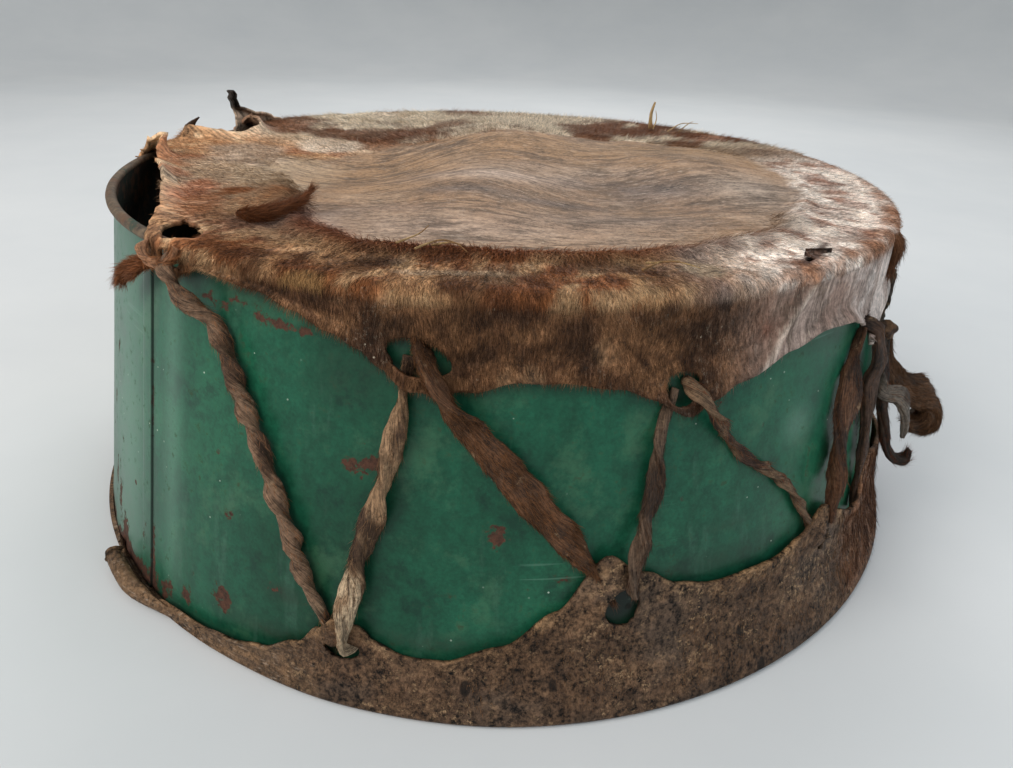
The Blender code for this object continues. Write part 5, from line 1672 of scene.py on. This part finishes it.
SPANS = (
    Span(1, Way.DOWN, 0, 0.0048, ((-31.4, 0.14), (-28.6, 0.27), (-24.6, 0.48), (-20.6, 0.74)), (128, 100, 78),
         (84, 62, 46), 0.62, 26.0, 0.10, (150, 98, 60), pale=0.86),
    Span(2, Way.UP, 0, 0.0054, ((-10.4, 0.24), (-11.6, 0.41), (-13.8, 0.66)), (150, 118, 88), (72, 52, 38), 0.58, 12.0,
         0.14, (110, 78, 52), pale=0.52),
    Span(3, Way.DOWN, 1, 0.0072, ((-3.4, 0.24), (2.6, 0.52), (8.2, 0.78)), (98, 66, 44), (66, 46, 32), 0.42, 3.5, 0.5,
         (112, 74, 46), 0.0085),
    Span(4, Way.UP, 1, 0.0046, ((15.4, 0.22), (15.1, 0.37), (14.8, 0.52), (13.9, 0.67), (12.9, 0.82)), (96, 76, 60), (56, 44, 36), 0.62, 15.0, 0.30,
         (84, 58, 42), 0.0038, 0.0075),
    Span(5, Way.DOWN, 2, 0.0032, ((25.0, 0.34), (32.5, 0.60)), (112, 88, 66), (62, 44, 34), 0.58, 24.0, 0.14,
         (120, 70, 46)),
    Span(6, Way.UP, 2, 0.0068, ((43.8, 0.21), (42.4, 0.42), (41.1, 0.63), (39.8, 0.78)), (88, 60, 42), (50, 36, 28), 0.46, 5.0,
         0.16, (104, 64, 42), 0.0022, 0.0080),
    Span(7, Way.DOWN, 3, 0.0058, ((50.6, 0.35), (49.9, 0.63)), (74, 54, 42), (48, 38, 32), 0.45, 1.5, 0.10),
    Span(8, Way.DOWN, 4, 0.0050, ()), Span(9, Way.UP, 4, 0.0056, (), (120, 100, 78)),
    Span(10, Way.DOWN, 5, 0.0044, ()), Span(11, Way.UP, 5, 0.0050, (), (64, 50, 38)),
    Span(12, Way.DOWN, 6, 0.0054, (), (104, 88, 68)), Span(13, Way.UP, 6, 0.0046, ()),
    Span(14, Way.DOWN, 7, 0.0050, (), (62, 48, 36)), Span(15, Way.UP, 7, 0.0044, (), (126, 104, 80)),
    Span(16, Way.DOWN, 8, 0.0052, ()), Span(17, Way.UP, 8, 0.0048, (), (98, 80, 60)),
    Span(18, Way.DOWN, 9, 0.0046, (), (70, 54, 42)),
)


@dataclass
class Lacing:
    """The thongs, each turned in through an upper and a lower slot."""

    sizes: DrumSizes
    upper: tuple[Hole, ...]
    lower_ears: tuple[Point, ...] = (
        (-15.6, 0.0330), (12.3, 0.0610), (39.7, 0.0590), (49.5, 0.0560), (84.0, 0.0560), (115.0, 0.0600),
        (146.0, 0.0570), (177.0, 0.0590), (207.0, 0.0560), (237.0, 0.0520),
    )
    behind: float = 0.0026
    spread: float = 0.0042
    front_spread: float = 0.0020
    rest: float = 0.0008
    over_hide: float = 0.0030
    neck: float = 0.012
    swell: float = 0.024
    past_tip: float = 0.007
    fall: float = 0.016
    upper_drop: float = 0.0115
    lower_rise: float = 0.0150
    rings: int = 96

    def line(self, span: Span, bulged: float) -> tuple[np.ndarray, np.ndarray]:
        """Middle line and half width of one thong.

        Args:
            span: which thong.
            bulged: how far the lower hide stands out at its slot.

        Returns:
            Points and half widths from the upper slot to the lower one.
        """
        sizes = self.sizes
        down = span.way is Way.DOWN
        top = self.upper[span.ear if down else span.ear + 1]
        low_angle, low_height = self.lower_ears[span.ear]
        side = 1.0 if down else -1.0
        low_spread = self.spread if down else self.front_spread
        low_height = low_height + (0.0 if down else span.enters)
        start = (top.angle + side * math.degrees(self.spread / sizes.wall(top.height)), top.height)
        end = (low_angle - side * math.degrees(low_spread / sizes.wall(low_height)), low_height)
        middle = [(angle, top.height + (low_height - top.height) * share) for angle, share in span.between]
        flat = smooth_path(np.array([start, *middle, end]))
        way = spin(flat[:, 0], sizes.wall(flat[:, 1]), flat[:, 1])
        lengths = np.concatenate(([0.0], np.cumsum(np.linalg.norm(np.diff(way, axis=0), axis=1))))
        place = np.linspace(0.0, lengths[-1], 120)
        angle, height = (np.interp(place, lengths, flat[:, axis]) for axis in (0, 1))
        from_top, from_low = place, lengths[-1] - place
        under_upper = float(sizes.skirt(start[1]) - sizes.wall(start[1]))
        over_upper = under_upper + sizes.hide
        over_lower = sizes.fit + sizes.hide + bulged
        leaves_top, leaves_low = self.upper_drop + self.past_tip, self.lower_rise + self.past_tip
        over_top = (over_upper + self.over_hide - self.rest) * ease(from_top, leaves_top + self.fall, leaves_top)
        over_low = (over_lower + self.over_hide - self.rest) * ease(from_low, leaves_low + self.fall, leaves_low)
        lift = self.rest + (over_top if down else over_low)
        front, back = (from_top, from_low) if down else (from_low, from_top)
        here = span.root + (span.radius - span.root) * ease(front, 0.004, self.neck + self.swell)
        here = here + (self.behind - here) * ease(back, self.neck + self.swell, self.neck)
        line = spin(angle, sizes.wall(height) + lift + here * (0.5 + 0.5 * span.flat), height)
        if down:
            first = [spin(start[0] - 0.5, sizes.wall(start[1]) + out, start[1] + 0.001)
                     for out in (under_upper, over_upper + 0.0012)]
            line = np.concatenate((first, line[2:]))
        else:
            last = [spin(end[0] + 0.5, sizes.wall(end[1]) + out, end[1]) for out in (over_lower + 0.0012, self.rest)]
            line = np.concatenate((line[:-2], last))
        line, here = even_path(line, self.rings, here)
        for _ in range(2):
            line[1:-1] = (line[:-2] + line[1:-1] * 2.0 + line[2:]) / 4.0
        return line, here

    def build(self, lower: LowerHead) -> list[tuple[bpy.types.Object, bpy.types.Mesh]]:
        """Build every thong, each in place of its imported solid."""
        made = []
        finish = Rawhide().material()
        for span in SPANS:
            low_angle, low_height = self.lower_ears[span.ear]
            bulged = float(lower.bulged(np.array(low_angle), np.array(low_height)))
            line, radii = self.line(span, bulged)
            strip = Strip(f"laced_thong_{span.number:02d}", span.tone, span.other_tone, span.flat, span.twist,
                          haired=span.haired, hair_tone=span.hair_tone, seed=300 + span.number * 7,
                          pale=span.pale)
            mesh = strip.sweep(line, radii * 1.08)
            piece = link_object(strip.name, mesh, finish)
            made.append((settle(piece, Slot.THONG, f"thong_{span.number:02d}"), mesh))
        return made


@dataclass
class LooseEnds:
    """The knot at the right and the three stiff tails that hang from it."""

    sizes: DrumSizes
    angle: float = 56.6
    height: float = 0.1504
    radius: float = 0.0055
    curled: tuple[tuple[float, float, float], ...] = (
        (0.1, 0.0056, 0.0060), (0.6, 0.0160, 0.0056), (1.1, 0.0325, 0.0062), (1.4, 0.0450, 0.0066),
        (1.7, 0.0578, 0.0078), (2.0, 0.0736, 0.0095), (2.6, 0.0820, 0.0142), (3.3, 0.0826, 0.0201),
        (3.4, 0.0768, 0.0223),
    )
    hooked: tuple[tuple[float, float, float], ...] = (
        (-1.35, 0.0028, 0.0060), (-2.1, 0.0150, 0.0052), (-2.4, 0.0222, 0.0058), (-2.6, 0.0287, 0.0074),
        (-2.5, 0.0320, 0.0110), (-1.8, 0.0332, 0.0166), (-1.4, 0.0401, 0.0199), (-1.1, 0.0491, 0.0204),
        (-0.7, 0.0589, 0.0193),
    )
    haired: tuple[tuple[float, float, float], ...] = (
        (1.1, 0.0042, 0.0060), (2.5, 0.0135, 0.0060), (3.4, 0.0251, 0.0068), (4.2, 0.0360, 0.0100),
        (5.6, 0.0432, 0.0155), (7.1, 0.0470, 0.0235), (8.2, 0.0535, 0.0305), (8.0, 0.0620, 0.0305),
        (7.0, 0.0672, 0.0255), (5.8, 0.0665, 0.0200),
    )

    def tail(self, strip: Strip, node: str, route: tuple, start: float, full: float,
             finish: bpy.types.Material) -> tuple[bpy.types.Object, bpy.types.Mesh]:
        """Build one tail.

        Args:
            strip: its section and tones.
            node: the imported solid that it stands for.
            route: angle beside the knot, depth under it and distance off the wall of each point.
            start, full: half width at the knot and further down.
            finish: its material.

        Returns:
            The piece and its mesh.
        """
        path = smooth_path(np.array(route))
        height = self.height - path[:, 1]
        line = spin(self.angle + path[:, 0], self.sizes.wall(height) + path[:, 2], height)
        line = even_path(line, 80)[0]
        share = np.linspace(0.0, 1.0, 80)
        radii = start + (full - start) * ease(share, 0.10, 0.55)
        radii = radii * (1.0 - 0.45 * ease(share, 0.90, 1.0))
        mesh = strip.sweep(line, radii)
        return settle(link_object(strip.name, mesh, finish), Slot.THONG, node), mesh

    def knot(self, finish: bpy.types.Material) -> bpy.types.Object:
        """Build the knot: a lumpy round body with creases where the strips cross."""
        made = bpy.data.meshes.new("tied_knot")
        shape = bmesh.new()
        bmesh.ops.create_icosphere(shape, subdivisions=5, radius=1.0)
        ball = np.array([vertex.co[:] for vertex in shape.verts])
        turn = np.arctan2(ball[:, 1], ball[:, 0]) + ball[:, 2] * 1.3
        bumps = 1.0 + 0.12 * np.cos(3.0 * turn) * (1.0 - ball[:, 2] ** 2) + 0.10 * layered_noise(ball, 0.45, 3, 601)
        centre = spin(self.angle, self.sizes.wall(self.height) + self.radius + 0.0006, self.height)
        points = centre + ball * bumps[:, None] * self.radius
        shape.to_mesh(made)
        shape.free()
        made.vertices.foreach_set("co", points.astype(np.float32).ravel())
        patch = layered_noise(points, 0.004, 3, 611)
        tone = tint((np.ones(len(points)), (66, 48, 36)), (ease(patch, 0.0, 0.3), (110, 82, 58)))
        made.attributes.new("tone", "FLOAT_COLOR", "POINT").data.foreach_set("color", tone.astype(np.float32).ravel())
        made.uv_layers.new(name="along")
        made.shade_smooth()
        return settle(link_object("tied_knot", made, finish), Slot.THONG, "knot")

    def build(self) -> list[tuple[bpy.types.Object, bpy.types.Mesh]]:
        """Build the knot and the tails; the tails come back with their meshes, for hair."""
        finish = Rawhide("loose_rawhide").material()
        self.knot(finish)
        dark = Strip("dark_curled_tail", (48, 40, 34), (70, 54, 42), 0.50, 4.0, haired=0.25, hair_tone=(110, 62, 42),
                     seed=711)
        grey = Strip("grey_hooked_tail", (104, 94, 84), (66, 56, 48), 0.46, 6.0, haired=0.08, seed=723)
        brown = Strip("furry_brown_tail", (84, 60, 42), (60, 44, 32), 0.55, 5.0, haired=1.0, hair_tone=(104, 72, 48),
                      seed=737)
        return [self.tail(dark, "curled_tail", self.curled, 0.0028, 0.0058, finish),
                self.tail(grey, "hooked_tail", self.hooked, 0.0028, 0.0058, finish),
                self.tail(brown, "haired_tail", self.haired, 0.0030, 0.0114, finish)]


@dataclass
class Scraps:
    """Torn scraps, tufts and dry stalks on the upper hide."""

    sizes: DrumSizes
    ear_rows: tuple[tuple[float, float, float, float], ...] = (
        (-0.0040, -124.0, 0.064, 0.0), (0.0030, -122.6, 0.046, 0.0), (0.0070, -120.6, 0.028, 0.001),
        (0.0105, -118.9, 0.014, 0.002), (0.0135, -117.9, 0.006, 0.002), (0.0170, -117.6, 0.0036, 0.001),
        (0.0205, -117.2, 0.0056, 0.002), (0.0225, -117.9, 0.0040, 0.003), (0.0250, -117.5, 0.0024, 0.004),
    )
    stalks: tuple[tuple[tuple[float, float, float], ...], ...] = (
        ((0.055, -0.223, 0.2078), (0.064, -0.217, 0.2098), (0.073, -0.212, 0.2088)),
        ((0.058, -0.214, 0.2080), (0.070, -0.219, 0.2105), (0.080, -0.220, 0.2085)),
        ((-0.041, -0.206, 0.2085), (-0.030, -0.202, 0.2115), (-0.021, -0.200, 0.2090)),
        ((-0.034, -0.200, 0.2085), (-0.024, -0.207, 0.2120), (-0.018, -0.212, 0.2095)),
        ((-0.050, -0.199, 0.2085), (-0.040, -0.197, 0.2125), (-0.036, -0.192, 0.2150)),
        ((0.142, 0.150, 0.2075), (0.158, 0.172, 0.2110), (0.179, 0.197, 0.2080)),
        ((0.150, 0.146, 0.2075), (0.160, 0.160, 0.2120), (0.170, 0.180, 0.2120)),
        ((0.129, 0.163, 0.2070), (0.1285, 0.164, 0.2190), (0.1310, 0.164, 0.2290)),
        ((0.131, 0.161, 0.2070), (0.1335, 0.163, 0.2150), (0.1325, 0.165, 0.2220)),
        ((0.243, -0.040, 0.1700), (0.250, -0.046, 0.1760), (0.256, -0.050, 0.1850)),
    )
    stout: tuple[int, ...] = (7,)
    stout_stalk: float = 0.0020
    fine_stalk: float = 0.00060
    horn: tuple[tuple[float, float, float], ...] = (
        (-0.229, 0.046, 0.2055), (-0.228, 0.048, 0.2110), (-0.2245, 0.050, 0.2160), (-0.2195, 0.051, 0.2200),
    )
    left_tuft: tuple[tuple[float, float, float], ...] = (
        (-41.5, 0.2480, 0.1915), (-43.8, 0.2500, 0.1880), (-46.2, 0.2525, 0.1830), (-47.6, 0.2540, 0.1770),
    )
    left_loop: tuple[tuple[float, float, float], ...] = (
        (-42.4, 0.2455, 0.2010), (-41.6, 0.2510, 0.1990), (-40.2, 0.2530, 0.1955), (-38.0, 0.2520, 0.1950),
        (-36.6, 0.2500, 0.1985), (-36.2, 0.2470, 0.2030),
    )
    right_tuft: tuple[tuple[float, float, float], ...] = (
        (56.5, 0.2465, 0.2030), (57.2, 0.2482, 0.1960), (57.6, 0.2480, 0.1880), (57.8, 0.2475, 0.1800),
    )
    flap: tuple[tuple[float, float, float], ...] = (
        (-39.9, 0.2046, 0.2080), (-36.9, 0.2042, 0.2095), (-35.2, 0.1984, 0.2105), (-35.0, 0.1878, 0.2115),
        (-34.8, 0.1793, 0.2130), (-35.5, 0.1703, 0.2165),
    )

    def torn_ear(self) -> bpy.types.Object:
        """The scrap that stands on the rim at the back left, wide at its foot and thin at its tip."""
        rows, columns = 26, 15
        known = np.array(self.ear_rows)
        height = np.linspace(known[0, 0], known[-1, 0], rows)
        centre, width, lean = (np.interp(height, known[:, 0], known[:, axis])[:, None] for axis in (1, 2, 3))
        across = np.linspace(-0.5, 0.5, columns)[None, :]
        foot = self.sizes.rim_corner - 0.006
        place = spin(centre + np.degrees(across * width / foot), foot, height[:, None])
        wild = layered_noise(place, 0.009, 3, 901)
        width = width * (1.0 + 0.35 * wild)
        angle = centre + np.degrees(across * width / foot)
        radius = foot + lean + 0.0022 * layered_noise(place, 0.012, 2, 911) + 0.0030 * np.cos(across * 5.0)
        level = self.sizes.top + self.sizes.fit + self.sizes.hide
        grid = spin(angle, radius, level + height[:, None] + 0.0020 * wild)
        points = grid.reshape(-1, 3)
        patch = layered_noise(points, 0.008, 3, 921)
        upright = np.repeat(height, columns)
        fields = {"hide_colour": tint((np.ones(len(points)), (176, 150, 126)), (ease(patch, 0.0, 0.3) * 0.7, (112, 90, 74)),
                                      (ease(upright, 0.009, 0.015), (50, 40, 33))),
                  "bare": np.zeros(len(points)), "flow": points}
        mesh = make_mesh("torn_ear", points, grid_faces(rows, columns, wrap_columns=False), fields)
        ear = link_object("torn_ear", mesh, DriedHide("torn_ear_hide").material())
        step = ear.modifiers.new("thickness", "SOLIDIFY")
        step.thickness = 0.0016
        step.offset = 0.0
        bake(ear)
        return settle(ear, Slot.UPPER)

    def tuft(self, strip: Strip, route: tuple, thick: tuple[float, float],
             finish: bpy.types.Material) -> tuple[bpy.types.Object, bpy.types.Mesh]:
        """A matted lock along points given by angle, radius and height."""
        path = smooth_path(np.array(route))
        line = even_path(spin(path[:, 0], path[:, 1], path[:, 2]), 40)[0]
        share = np.linspace(0.0, 1.0, 40)
        radii = thick[0] + (thick[1] - thick[0]) * ease(share, 0.3, 1.0)
        mesh = strip.sweep(line, radii * (0.6 + 0.4 * ease(share, 0.0, 0.15)))
        return settle(link_object(strip.name, mesh, finish), Slot.UPPER), mesh

    def build(self) -> list[tuple[bpy.types.Object, bpy.types.Mesh]]:
        """Build the scraps; the locks come back with their meshes, for hair."""
        self.torn_ear()
        finish = Rawhide("matted_locks").material()
        dry = Rawhide("dry_stalks", (120, 92, 62)).material()
        for number, route in enumerate(self.stalks):
            strip = Strip(f"stalk_{number:02d}", (196, 162, 112), (150, 112, 72), 0.8, 0.0, sides=8, seed=930 + number)
            line = even_path(smooth_path(np.array(route)), 16)[0]
            thick = self.stout_stalk if number in self.stout else self.fine_stalk
            mesh = strip.sweep(line, thick * (1.0 - 0.6 * np.linspace(0.0, 1.0, 16)))
            settle(link_object(strip.name, mesh, dry), Slot.UPPER)
        horn = Strip("curled_tip", (76, 58, 46), (44, 36, 30), 0.35, 0.0, sides=14, seed=951)
        line = even_path(smooth_path(np.array(self.horn)), 24)[0]
        mesh = horn.sweep(line, 0.0062 * (1.0 - 0.86 * np.linspace(0.0, 1.0, 24)))
        settle(link_object(horn.name, mesh, finish), Slot.UPPER)
        loop = Strip("left_loop", (158, 112, 80), (110, 74, 52), 0.7, 20.0, haired=0.3, hair_tone=(150, 98, 62), seed=957)
        left = Strip("left_lock", (116, 72, 44), (84, 54, 36), 0.6, 6.0, haired=1.0, hair_tone=(132, 80, 48), seed=961)
        right = Strip("right_lock", (108, 76, 54), (80, 56, 40), 0.6, 5.0, haired=0.9, hair_tone=(122, 82, 56), seed=967)
        flap = Strip("raised_lock", (104, 62, 38), (150, 108, 74), 0.7, 4.0, haired=1.0, hair_tone=(116, 68, 38), seed=977)
        return [self.tuft(loop, self.left_loop, (0.0024, 0.0022), finish),
                self.tuft(left, self.left_tuft, (0.0040, 0.0022), finish),
                self.tuft(right, self.right_tuft, (0.0032, 0.0022), finish),
                self.tuft(flap, self.flap, (0.0030, 0.0007), finish)]


@dataclass(frozen=True)
class Studio:
    """The camera at the photograph's angle, the pale floor and the lights."""

    place: tuple[float, float, float] = (-0.0094, -0.5230, 0.3084)
    pitch: float = 27.41
    yaw: float = 1.90
    roll: float = 2.45
    lens: float = 756.0 / 1013.0 * 36.0
    floor_reach: float = 2.6
    floor_bend: float = 1.6

    def build(self) -> None:
        """Set up the camera, floor, world and lights."""
        pitch, yaw, roll = (math.radians(value) for value in (self.pitch, self.yaw, self.roll))
        ahead = Vector((math.sin(yaw) * math.cos(pitch), math.cos(yaw) * math.cos(pitch), -math.sin(pitch)))
        right = Vector((math.cos(yaw), -math.sin(yaw), 0.0))
        above = right.cross(ahead)
        turned = right * math.cos(roll) + above * math.sin(roll)
        upright = above * math.cos(roll) - right * math.sin(roll)
        data = bpy.data.cameras.new("camera")
        data.lens = self.lens
        data.sensor_width = 36.0
        camera = bpy.data.objects.new("camera", data)
        camera.matrix_world = Matrix.Translation(self.place) @ Matrix((turned, upright, -ahead)).transposed().to_4x4()
        scene = bpy.context.scene
        scene.collection.objects.link(camera)
        scene.camera = camera
        scene.view_settings.view_transform = "Standard"
        self.floor()
        self.world(scene)
        self.light("key", (-1.5, -1.3, 1.9), 1.6, 46.0, (1.0, 0.985, 0.96))
        self.light("fill", (1.9, -1.3, 1.2), 1.8, 16.0, (0.72, 0.86, 1.0))
        self.light("back", (0.3, 1.8, 1.9), 1.6, 24.0, (1.0, 1.0, 1.0))

    def floor(self) -> None:
        """Lay the pale floor that the drum stands on, bent up all round it."""
        turn = np.radians(np.linspace(0.0, 90.0, 25))[:, None]
        radius = np.concatenate(([[0.001]], self.floor_reach + self.floor_bend * np.sin(turn)))
        height = np.concatenate(([[0.0]], self.floor_bend * (1.0 - np.cos(turn))))
        corners = spin(np.arange(96)[None, :] * 3.75, radius, height)
        made, g, shader, place = new_material("pale_floor")
        tone = g.ramp(g.noise(place, 3.0, 5.0), (0.3, shade(212, 214, 214)), (0.7, shade(220, 221, 220)))
        normal = g.bump(g.noise(place, 260.0, 5.0), 0.05, 0.0004)
        wire(g, shader, Base_Color=tone, Roughness=0.78, Normal=normal, Specular_IOR_Level=0.25)
        mesh = make_mesh("floor", corners.reshape(-1, 3), grid_faces(len(radius), 96)[:, ::-1])
        link_object("floor", mesh, made)

    def world(self, scene: bpy.types.Scene) -> None:
        """Fill the room with pale light."""
        world = bpy.data.worlds.new("pale_room")
        scene.world = world
        world.use_nodes = True
        ground = world.node_tree.nodes["Background"]
        ground.inputs["Color"].default_value = shade(226, 230, 234)
        ground.inputs["Strength"].default_value = 0.50

    def light(self, name: str, place: tuple[float, float, float], size: float, power: float,
              colour: Colour) -> None:
        """Hang one soft light that faces the drum."""
        data = bpy.data.lights.new(name, "AREA")
        data.size = size
        data.energy = power
        data.color = colour
        lamp = bpy.data.objects.new(name, data)
        lamp.matrix_world = Matrix.Translation(place) @ Vector(place).to_track_quat("Z", "Y").to_matrix().to_4x4()
        bpy.context.scene.collection.objects.link(lamp)


UPPER_COATS = (
    HairCoat("left_skirt_hair", -30.0, 20.0, 0.10, 0.2020, 5.0e6, 0.0044, 0.00011, 0.06, 0.24, 0.15, 11),
    HairCoat("front_skirt_hair", 0.0, 10.0, 0.10, 0.2020, 5.0e6, 0.0038, 0.00011, 0.06, 0.24, 0.10, 18),
    HairCoat("middle_skirt_hair", 21.0, 11.0, 0.10, 0.2020, 4.6e6, 0.0036, 0.00011, 0.06, 0.26, 0.10, 19),
    HairCoat("front_ring_hair", -38.0, 22.0, 0.2020, 0.24, 4.4e6, 0.0052, 0.00012, 0.12, 0.42, 0.20, 12),
    HairCoat("middle_ring_hair", 6.0, 22.0, 0.2020, 0.24, 4.4e6, 0.0050, 0.00012, 0.12, 0.42, 0.20, 20),
    HairCoat("right_ring_hair", 68.0, 40.0, 0.2020, 0.24, 3.2e6, 0.0040, 0.00011, 0.10, 0.55, 0.20, 13),
    HairCoat("left_ring_hair", -90.0, 30.0, 0.2020, 0.24, 3.2e6, 0.0042, 0.00011, 0.14, 0.60, 0.20, 14),
    HairCoat("far_ring_hair", 141.0, 33.0, 0.2020, 0.24, 1.3e6, 0.0078, 0.00015, 0.28, 0.42, 0.25, 15),
    HairCoat("back_ring_hair", 207.0, 33.0, 0.2020, 0.24, 1.2e6, 0.0078, 0.00015, 0.28, 0.42, 0.25, 22),
    HairCoat("right_skirt_hair", 82.0, 50.0, 0.10, 0.2020, 1.6e6, 0.0040, 0.00012, 0.10, 0.28, 0.20, 16),
    HairCoat("back_skirt_hair", 200.0, 68.0, 0.10, 0.2020, 1.0e6, 0.0060, 0.00016, 0.15, 0.26, 0.20, 17),
)
LIP_COAT = HairCoat("inner_edge_hair", -10.0, 62.0, 0.2020, 0.24, 2.7e6, 0.0080, 0.00016, 0.50, 0.45, 0.45, 31, "lip", 2)
LOWER_COATS = (
    HairCoat("lower_front_hair", 8.0, 68.0, 0.003, 0.11, 0.9e6, 0.0024, 0.00011, 0.10, 0.38, 0.20, 21),
    HairCoat("lower_side_hair", 66.0, 24.0, 0.014, 0.11, 1.2e6, 0.0100, 0.00020, 0.08, 0.30, 0.20, 23, "stringy"),
    HairCoat("lower_back_hair", 163.0, 87.0, 0.003, 0.11, 0.5e6, 0.0032, 0.00014, 0.12, 0.34, 0.20, 24),
)
THONG_COAT = HairCoat("thong_hair", 0.0, 181.0, 0.0, 0.30, 4.0e6, 0.0048, 0.00011, 0.12, 0.36, 0.25)
TUFT_COAT = HairCoat("tuft_hair", 0.0, 181.0, 0.0, 0.30, 8.0e6, 0.0075, 0.00014, 0.16, 0.34, 0.25, segments=2)


def main() -> None:
    """Build the drum's looks in order, then the studio round it."""
    logging.basicConfig(level=logging.INFO, format="%(message)s")
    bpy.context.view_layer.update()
    sizes = DrumSizes.measured()
    LOG.info("sizes: %s", sizes)
    shell = Shell(sizes)
    shell.build()
    shell.dress_wire()
    upper = UpperHead(sizes, columns=560)
    _, upper_skin = upper.build()
    hair = Strands().material()
    for coat in (*UPPER_COATS, LIP_COAT):
        coat.grow(upper_skin, hair, Slot.UPPER)
    lower = LowerHead(sizes, columns=600)
    _, lower_skin = lower.build()
    for coat in LOWER_COATS:
        coat.grow(lower_skin, hair, Slot.LOWER)
    strips = Lacing(sizes, upper.slots).build(lower) + LooseEnds(sizes).build()
    for number, (piece, mesh) in enumerate(strips):
        replace(THONG_COAT, name=f"{piece.name}_hair", seed=40 + number).grow(mesh, hair, Slot.THONG)
    for number, (piece, mesh) in enumerate(Scraps(sizes).build()):
        replace(TUFT_COAT, name=f"{piece.name}_hair", seed=80 + number).grow(mesh, hair, Slot.UPPER)
    Studio().build()


if __name__ == "__main__":
    main()
